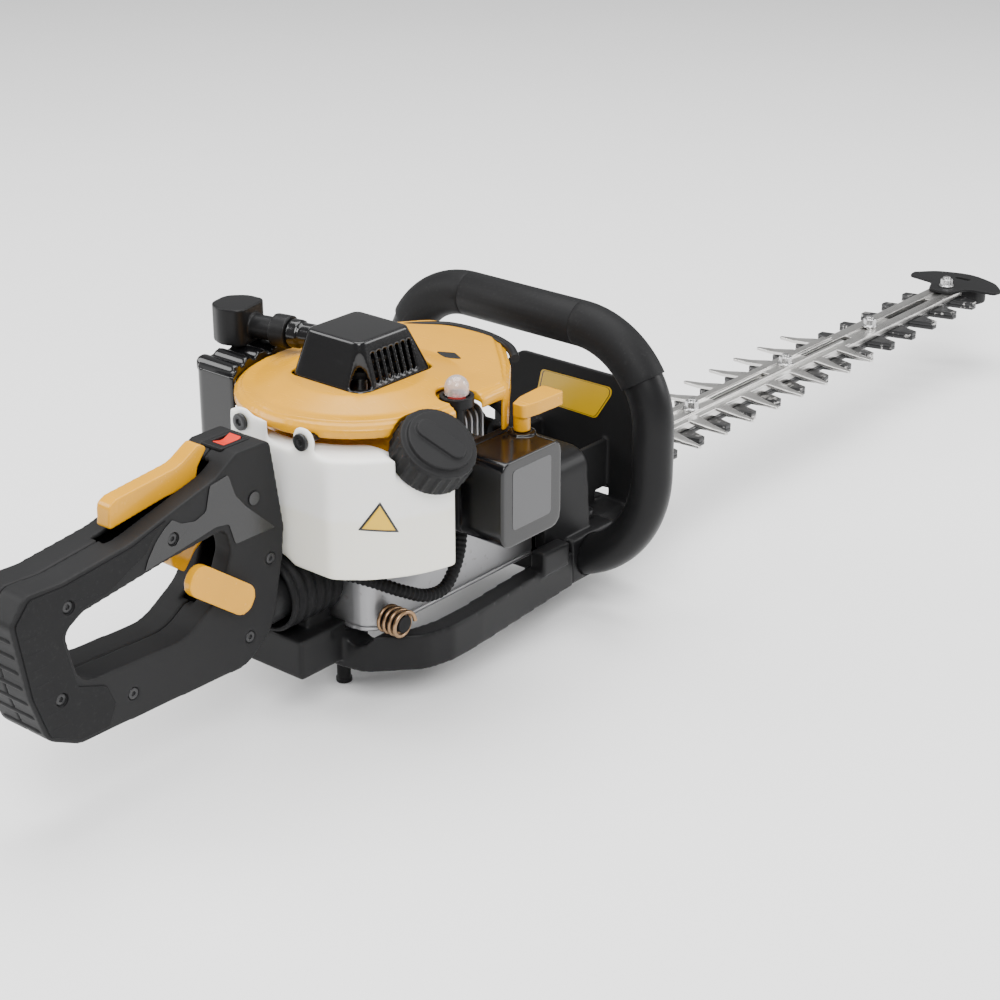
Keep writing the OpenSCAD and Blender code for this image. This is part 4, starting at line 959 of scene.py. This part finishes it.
@dataclass
class Cowling(SubAssembly):
    """Yellow cowl, fan housing, primer and choke."""

    title = "cowling"
    top: float = 207 * MM
    primer: Point = (39 * MM, -67 * MM, 204.4 * MM)
    disc_r: float = 5.6 * MM
    disc_h: float = 3.0 * MM
    badge: tuple[Flat, ...] = (
        (0.0845, -0.0157), (0.0903, -0.0045), (0.0963, -0.0157), (0.0903, -0.0268),
    )
    badge_h: float = 0.8 * MM
    strip: tuple[Point, ...] = (
        (0.112, 0.058, 0.2030), (0.126, 0.042, 0.2048), (0.1365, 0.026, 0.2055), (0.1395, 0.008, 0.2055),
        (0.1388, -0.012, 0.2050), (0.1345, -0.030, 0.2035), (0.126, -0.042, 0.2010),
    )
    strip_r: float = 3.1 * MM

    def build(self) -> None:
        """Makes and dresses every piece."""
        self.mould("cowl", Softening(1.0 * MM, 8, 0.4), YELLOW)
        self.mould("fan_housing", Softening(1.3 * MM, 5, 0.3))
        self.mould("choke_lever", Softening(0.5 * MM, 5, 0.4), YELLOW)
        self.mould("primer_base", Softening(0.5 * MM, 3, 0.5), SATIN_BLACK)
        self.cut("primer_bulb", Corner.FINE, BULB)
        self.build_primer_disc()
        self.build_badge()
        self.build_edge_strip()

    def build_primer_disc(self) -> None:
        """The pink disc under the primer bulb."""
        ring = Bench.circle(self.primer, self.disc_r, Vector((1, 0, 0)), Vector((0, 1, 0)))
        disc = Bench.prism("primer_disc", ring, Vector((0, 0, self.disc_h)), 0.5 * MM)
        self.settle(disc, "primer_base", PRIMER_PINK, False)

    def build_badge(self) -> None:
        """The blank black badge on the cowl's top."""
        corners = Bench.rounded(self.badge, 2.5 * MM)
        foot = [Vector((c.x, c.y, self.top - self.badge_h / 2)) for c in corners]
        badge = Bench.prism("cowl_badge", foot, Vector((0, 0, self.badge_h)), 0.25 * MM)
        self.settle(badge, "cowl", GLOSS_BLACK, False)

    def build_edge_strip(self) -> None:
        """The black bead round the cowl's front corner."""
        strip = Bench.swept("cowl_edge_strip", self.strip, self.strip_r, SATIN_BLACK)
        self.settle(strip, "cowl", SATIN_BLACK, False)


@dataclass
class AirBox(SubAssembly):
    """Air filter box with its cover and rating plate."""

    title = "air box"
    face_y: float = -110 * MM
    plate: tuple[Flat, ...] = ((0.0415, 0.126), (0.0795, 0.126), (0.0795, 0.1665), (0.0415, 0.1665))
    plate_t: float = 0.6 * MM

    def build(self) -> None:
        """Makes and dresses every piece."""
        self.mould("airbox_base", Softening(1.0 * MM, 4, 0.35))
        self.mould("airbox_cover", Softening(0.9 * MM, 8, 0.4), GLOSS_BLACK)
        rear_y = self.face_y + self.plate_t / 2
        foot = [Vector((c.x, rear_y, c.y)) for c in Bench.rounded(self.plate, 3.5 * MM)]
        plate = Bench.prism("rating_plate", foot, Vector((0, -self.plate_t, 0)), 0.2 * MM)
        self.settle(plate, "airbox_cover", LABEL_GREY, False)


@dataclass
class Starter(SubAssembly):
    """Recoil starter: cover, pulley, handle and rope."""

    title = "starter"
    crank_x: float = 22 * MM
    pulley_r: float = 19 * MM
    rope_turn: float = math.radians(12)
    rope_z: float = 221.5 * MM
    rope_radius: float = 2 * MM
    rope_from: float = 22 * MM
    rope_to: float = 78 * MM
    rings: int = 90
    sides: int = 12

    def build(self) -> None:
        """Makes and dresses every piece."""
        self.mould("starter_cover", Softening(0.8 * MM, 6, 0.4), GLOSS_BLACK)
        self.cut("starter_pulley", Corner.FINE)
        self.mould("pull_handle", Softening(0.7 * MM, 6, 0.4), SATIN_BLACK)
        self.build_rope()

    def on_rope(self, along: float) -> Vector:
        """A point on the rope's centre line, by its distance from the pulley."""
        side = Vector((math.cos(self.rope_turn), math.sin(self.rope_turn), 0.0))
        way = Vector((-side.y, side.x, 0.0))
        return Vector((self.crank_x, 0.0, self.rope_z)) + side * self.pulley_r + way * along

    def build_rope(self) -> None:
        """The cord between the housing and the handle, built as a fixed straight tube; the real cord draws
        out when it is pulled.
        """
        start, end = self.on_rope(self.rope_from), self.on_rope(self.rope_to)
        up = Vector((0, 0, 1))
        side = (end - start).normalized().cross(up)
        work = bmesh.new()
        uv = work.loops.layers.uv.new("cord")
        rows = []
        for i in range(self.rings + 1):
            centre = start + (end - start) * i / self.rings
            row = []
            for k in range(self.sides):
                turn = FULL_TURN * k / self.sides
                rim = side * math.cos(turn) + up * math.sin(turn)
                row.append(work.verts.new(centre + rim * self.rope_radius))
            rows.append(row)
        for i in range(self.rings):
            for k in range(self.sides):
                m = (k + 1) % self.sides
                face = work.faces.new((rows[i][k], rows[i + 1][k], rows[i + 1][m], rows[i][m]))
                face.smooth = True
                for loop, (a, b) in zip(face.loops, ((k, i), (k, i + 1), (k + 1, i + 1), (k + 1, i))):
                    loop[uv].uv = (a / self.sides, (end - start).length * b / self.rings)
        work.faces.new(rows[0])
        work.faces.new(list(reversed(rows[-1])))
        rope = Bench.from_work("starter_cord", work)
        rope.data.materials.append(ROPE.material())
        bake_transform(rope)
        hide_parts("starter_rope")
        log.info("%s: %s", self.title, rope.name)


@dataclass
class Exhaust(SubAssembly):
    """Muffler and its cover."""

    title = "exhaust"

    def build(self) -> None:
        """Makes and dresses every piece."""
        self.cut("muffler", Corner.SOFT, EXHAUST)
        self.mould("muffler_cover", Softening(1.0 * MM, 8, 0.4), GLOSS_BLACK)


@dataclass
class FuelTank(SubAssembly):
    """Tank, cap, screws and hoses."""

    title = "fuel tank"
    warning: tuple[Point, ...] = (
        (-0.0394, -0.0737, 0.163), (-0.0492, -0.0642, 0.1452), (-0.0304, -0.0804, 0.142),
    )
    border_w: float = 2.6 * MM

    def build(self) -> None:
        """Makes and dresses every piece."""
        tank = self.mould("fuel_tank", Softening(1.4 * MM, 30, 0.4), TANK)
        self.build_warning(tank)
        self.mould("fuel_cap", Softening(0.6 * MM, 4, 0.4), MATT_BLACK)
        self.cut("tank_screws", Corner.FINE, BLACK_SCREW)
        self.cut("fuel_hoses", Corner.SHARP)


    def build_warning(self, tank: bpy.types.Object) -> None:
        """The blank warning triangle: a black border round plain yellow."""
        border = Bench.decal("warning_border", self.warning, tank, 0.3 * MM)
        self.settle(border, "fuel_tank", LABEL_BLACK, False)
        inner = Bench.drawn_in([Vector(corner) for corner in self.warning], self.border_w)
        field = Bench.decal("warning_field", inner, tank, 0.5 * MM)
        self.settle(field, "fuel_tank", LABEL_YELLOW, False)


@dataclass
class BaseFrame(SubAssembly):
    """Base frame, stand foot, front bracket, springs, bellows and conduit."""

    title = "base frame"
    spring_at: Point = (-8 * MM, 55.1 * MM, 65 * MM)
    spring_length: float = 18 * MM
    spring_turns: float = 4.0
    spring_r: float = 8.4 * MM
    wire_r: float = 1.4 * MM
    core_r: float = 5.6 * MM
    conduit: tuple[Point, ...] = (
        (-0.028, -0.030, 0.098), (-0.016, -0.044, 0.092), (-0.002, -0.056, 0.084), (0.014, -0.062, 0.077),
        (0.030, -0.064, 0.078), (0.044, -0.062, 0.092), (0.050, -0.060, 0.108), (0.054, -0.056, 0.124),
    )

    def build(self) -> None:
        """Makes and dresses every piece."""
        self.mould("base_frame", Softening(1.3 * MM, 5, 0.3), SATIN_BLACK)
        self.mould("front_bracket", Softening(1.2 * MM, 5, 0.3), SATIN_BLACK)
        self.cut("stand_foot", Corner.SOFT, SATIN_BLACK)
        self.cut("bracket_screws", Corner.FINE, BLACK_SCREW)
        self.mould("swivel_bellows", Softening(0.8 * MM, 3, 0.35), RUBBER)
        conduit = Bench.swept("throttle_conduit_ribbed", self.conduit, 4.1 * MM, RUBBER, 0.07, 3.2 * MM)
        self.settle(conduit, "throttle_conduit", RUBBER)
        self.build_springs()

    def build_springs(self) -> None:
        """The two coil springs between the frame and the gearcase, each round a rubber core."""
        recipe = Recipe("spring_recipe", BRONZE)
        sockets = {
            "Resolution": 28,
            "Rotations": recipe.size("Turns", self.spring_turns),
            "Start Radius": recipe.size("Radius", self.spring_r),
            "End Radius": self.spring_r,
            "Height": recipe.size("Length", self.spring_length),
        }
        coil = recipe.node("GeometryNodeCurveSpiral", {}, sockets)
        wire = recipe.ring("Wire", self.wire_r, 12)
        sockets = {"Curve": coil, "Profile Curve": wire, "Fill Caps": True}
        solid = recipe.node("GeometryNodeCurveToMesh", {}, sockets)
        both = recipe.node("GeometryNodeJoinGeometry")
        x, y, z = self.spring_at
        for side, hand in ((-1, "right"), (1, "left")):
            start = (x, side * y - self.spring_length / 2, z)
            moved = {"Geometry": solid, "Translation": start, "Rotation": (-math.pi / 2, 0.0, 0.0)}
            recipe.feed(both.socket.node.inputs[0], recipe.node("GeometryNodeTransform", {}, moved))
            line = [(x, side * y + share * self.spring_length, z) for share in (-0.46, -0.138, 0.138, 0.46)]
            core = Bench.swept(f"spring_core_{hand}", line, self.core_r, RUBBER, 0.05, 4 * MM)
            self.settle(core, "av_springs", RUBBER, False)
        smooth = recipe.node("GeometryNodeSetShadeSmooth", {}, {"Geometry": both})
        self.settle(recipe.make("coil_springs", smooth), "av_springs", BRONZE)


@dataclass
class FrontLoop(SubAssembly):
    """Front loop handle, its grip and the hand guard."""

    title = "front loop"
    guard_x: float = 242 * MM
    label: tuple[Flat, ...] = (
        (0.0290, 0.1445), (-0.0340, 0.1452), (-0.0349, 0.1405), (-0.0210, 0.1187), (0.0345, 0.1200),
    )

    def build(self) -> None:
        """Makes and dresses every piece."""
        self.cut("loop_handle", Corner.FINE, SATIN_BLACK)
        self.cut("loop_grip", Corner.FINE, GRIP)
        self.mould("hand_guard", Softening(1.1 * MM, 5, 0.3), MATT_BLACK)
        self.build_label()

    def build_label(self) -> None:
        """The blank yellow label on the guard's rear face, with a thin black border."""
        rim = [Vector((self.guard_x, c.x, c.y)) for c in Bench.rounded(self.label, 3 * MM)]
        sunk = 0.4
        layers = ((0.0, 0.35, LABEL_YELLOW), (1.3, 0.42, LABEL_BLACK), (2.1, 0.49, LABEL_YELLOW))
        for number, (inset, lift, finish) in enumerate(layers):
            foot = [point + Vector((sunk * MM, 0, 0)) for point in Bench.drawn_in(rim, inset * MM)]
            layer = Bench.prism(f"guard_label_{number}", foot, Vector((-(lift + sunk) * MM, 0, 0)))
            self.settle(layer, "hand_guard", finish, False)


@dataclass
class RearHandle(SubAssembly):
    """Swivelling rear handle with its trigger, levers, switch and screws."""

    title = "rear handle"
    half: float = 20 * MM
    rib_count: int = 7
    rib_top: float = 142 * MM
    rib_step: float = 10.3 * MM
    rib_depth: float = 20 * MM
    rib_inset: float = 2.8 * MM
    rib_r: float = 2.3 * MM
    rear_x: float = -274.5 * MM
    rear_top_z: float = 152 * MM
    bend_z: float = 104 * MM
    upper_slope: float = 1 / 6
    lower_slope: float = 1 / 3
    screw_room: float = 4.3 * MM
    panel: tuple[Flat, ...] = (
        (-0.161, 0.1775), (-0.188, 0.1695), (-0.238, 0.1635), (-0.262, 0.164), (-0.273, 0.152),
        (-0.2655, 0.104), (-0.256, 0.076), (-0.236, 0.066), (-0.214, 0.0655), (-0.208, 0.078),
        (-0.214, 0.092), (-0.234, 0.0995), (-0.2425, 0.134), (-0.228, 0.1455), (-0.205, 0.1495),
        (-0.192, 0.156), (-0.178, 0.162), (-0.172, 0.170),
    )
    panel_screws: tuple[Flat, ...] = ((-0.236, 0.150), (-0.246, 0.096))
    neck: tuple[Flat, ...] = (
        (-0.127, 0.1875), (-0.112, 0.190), (-0.107, 0.175), (-0.099, 0.1653), (-0.076, 0.1438),
        (-0.109, 0.1438), (-0.1135, 0.1585), (-0.124, 0.160), (-0.158, 0.1545), (-0.180, 0.1515),
        (-0.177, 0.158), (-0.1705, 0.1665), (-0.163, 0.173), (-0.157, 0.1765), (-0.150, 0.1715),
        (-0.140, 0.1695), (-0.131, 0.1725),
    )
    neck_screws: tuple[Flat, ...] = ((-0.157, 0.164), (-0.092, 0.168))

    def build(self) -> None:
        """Makes and dresses every piece."""
        for node in ("handle_right", "handle_left"):
            self.mould(node, Softening(0.9 * MM, 7, 0.4), MATT_BLACK)
        self.mould("switch_bezel", Softening(0.5 * MM, 3, 0.4), SATIN_BLACK)
        self.mould("stop_switch", Softening(0.4 * MM, 4, 0.5), RED)
        for node in ("throttle_trigger", "lockout_lever", "release_paddle"):
            self.mould(node, Softening(0.6 * MM, 6, 0.4), YELLOW)
        for node in ("handle_screws", "swivel_tube", "trigger_pins"):
            self.cut(node, Corner.FINE)
        for side in (-1, 1):
            self.build_panels(side)
        self.build_ribs()

    def build_panels(self, side: int) -> None:
        """The soft side panel and the hard neck plate of the right (-1) or the left (1) shell."""
        hand = "left" if side > 0 else "right"
        sunk = 0.5 * MM
        foot_y = side * (self.half - sunk)
        kinds = (
            ("grip_panel", self.panel, 0.8 * MM, GRIP, self.panel_screws),
            ("neck_plate", self.neck, 0.6 * MM, GLOSS_BLACK, self.neck_screws),
        )
        for name, outline, rise, finish, screws in kinds:
            foot = [Vector((c.x, foot_y, c.y)) for c in Bench.rounded(outline, 1.8 * MM, 3)]
            holes = [
                Bench.circle((x, foot_y, z), self.screw_room, Vector((1, 0, 0)), Vector((0, 0, 1)))
                for x, z in (screws if side < 0 else ())
            ]
            up = Vector((0, side * (rise + sunk), 0))
            piece = Bench.prism(f"{name}_{hand}", foot, up, 0.25 * MM, holes)
            self.settle(piece, f"handle_{hand}", finish, False)

    def rib_place(self, number: int) -> Point:
        """The middle of one rib, behind the grip's leaning rear edge."""
        z = self.rib_top - number * self.rib_step
        upper = self.rear_top_z - max(z, self.bend_z)
        lower = max(self.bend_z - z, 0.0)
        lean = upper * self.upper_slope + lower * self.lower_slope
        return (self.rear_x + lean + self.rib_depth / 2, 0.0, z)

    def build_ribs(self) -> None:
        """The grip's ribs: rounded rings that stand out of its rear and its sides."""
        mesh = bpy.data.meshes.new("grip_ribs")
        mesh.from_pydata([self.rib_place(k) for k in range(self.rib_count)], [], [])
        base = Bench.new_object("grip_ribs", mesh)
        recipe = Recipe("rib_recipe", GRIP)
        sockets = {
            "Width": recipe.size("Depth", self.rib_depth),
            "Height": recipe.size("Width", 2 * self.half - self.rib_inset),
        }
        plan = recipe.node("GeometryNodeCurvePrimitiveQuadrilateral", {}, sockets)
        sockets = {"Curve": plan, "Radius": 5 * MM, "Count": 6}
        line = recipe.node("GeometryNodeFilletCurve", {"mode": "POLY"}, sockets)
        sockets = {"Curve": line, "Profile Curve": recipe.ring("Bead", self.rib_r, 16)}
        rib = recipe.node("GeometryNodeCurveToMesh", {}, sockets)
        sockets = {"Points": recipe.source(), "Instance": rib}
        ribs = recipe.node("GeometryNodeInstanceOnPoints", {}, sockets)
        smooth = recipe.node("GeometryNodeSetShadeSmooth", {}, {"Geometry": ribs})
        self.settle(recipe.make("grip_ribs", smooth, base), "handle_left", GRIP, False)


# ----------------------------------------------------------------------- studio


@dataclass
class Studio:
    """Pale floor, soft lights and the camera."""

    eye: Point = (-0.918, -0.905, 0.693)
    look: Point = (0.7017, 0.5888, -0.4011)
    lens: float = 79.04
    floor_size: float = 6.0
    lights: tuple[tuple[str, Point, float, float], ...] = (
        ("key", (-1.3, -1.3, 2.0), 1.4, 80.0),
        ("top", (0.4, 0.2, 2.2), 2.0, 80.0),
        ("side", (1.8, -1.4, 1.1), 1.2, 36.0),
        ("back", (-1.2, 1.8, 1.4), 1.4, 44.0),
    )

    def build(self) -> None:
        """Makes the camera, the floor and the lights."""
        data = bpy.data.cameras.new("camera")
        data.lens = self.lens
        data.sensor_width = 36.0
        data.clip_start = 0.02
        camera = bpy.data.objects.new("camera", data)
        camera.location = self.eye
        camera.rotation_euler = Vector(self.look).to_track_quat("-Z", "Y").to_euler()
        bpy.context.scene.collection.objects.link(camera)
        bpy.context.scene.camera = camera
        self.build_floor()
        for lamp in self.lights:
            self.light(*lamp)
        world = bpy.data.worlds.new("sky")
        world.use_nodes = True
        backdrop = world.node_tree.nodes["Background"]
        backdrop.inputs["Color"].default_value = (1.0, 1.0, 1.0, 1.0)
        backdrop.inputs["Strength"].default_value = 0.45
        bpy.context.scene.world = world

    def build_floor(self) -> None:
        """A plain pale floor."""
        work = bmesh.new()
        bmesh.ops.create_grid(work, x_segments=1, y_segments=1, size=self.floor_size)
        mesh = bpy.data.meshes.new("floor")
        work.to_mesh(mesh)
        work.free()
        floor = Bench.new_object("floor", mesh)
        shader = Shader("floor")
        pale = shader.tint(shader.noise(0.4, 3.0), (0.86, 0.86, 0.86), (0.9, 0.9, 0.9))
        shader.surface({"Base Color": pale}, {"Roughness": 0.7})
        floor.data.materials.append(shader.material)

    @staticmethod
    def light(name: str, place: Point, size: float, power: float) -> None:
        """A soft square light that faces the object."""
        data = bpy.data.lights.new(name, "AREA")
        data.size = size
        data.energy = power
        lamp = bpy.data.objects.new(name, data)
        lamp.location = place
        aim = Vector((0.15, 0.0, 0.1)) - Vector(place)
        lamp.rotation_euler = aim.to_track_quat("-Z", "Y").to_euler()
        bpy.context.scene.collection.objects.link(lamp)


def main() -> None:
    """Builds the studio and every sub-assembly."""
    logging.basicConfig(level=logging.INFO, format="%(message)s")
    Studio().build()
    groups = (
        CutterBar(), GearHousing(), Engine(), Cowling(), AirBox(), Starter(), Exhaust(), FuelTank(),
        BaseFrame(), FrontLoop(), RearHandle(),
    )
    for group in groups:
        group.build()


if __name__ == "__main__":
    main()
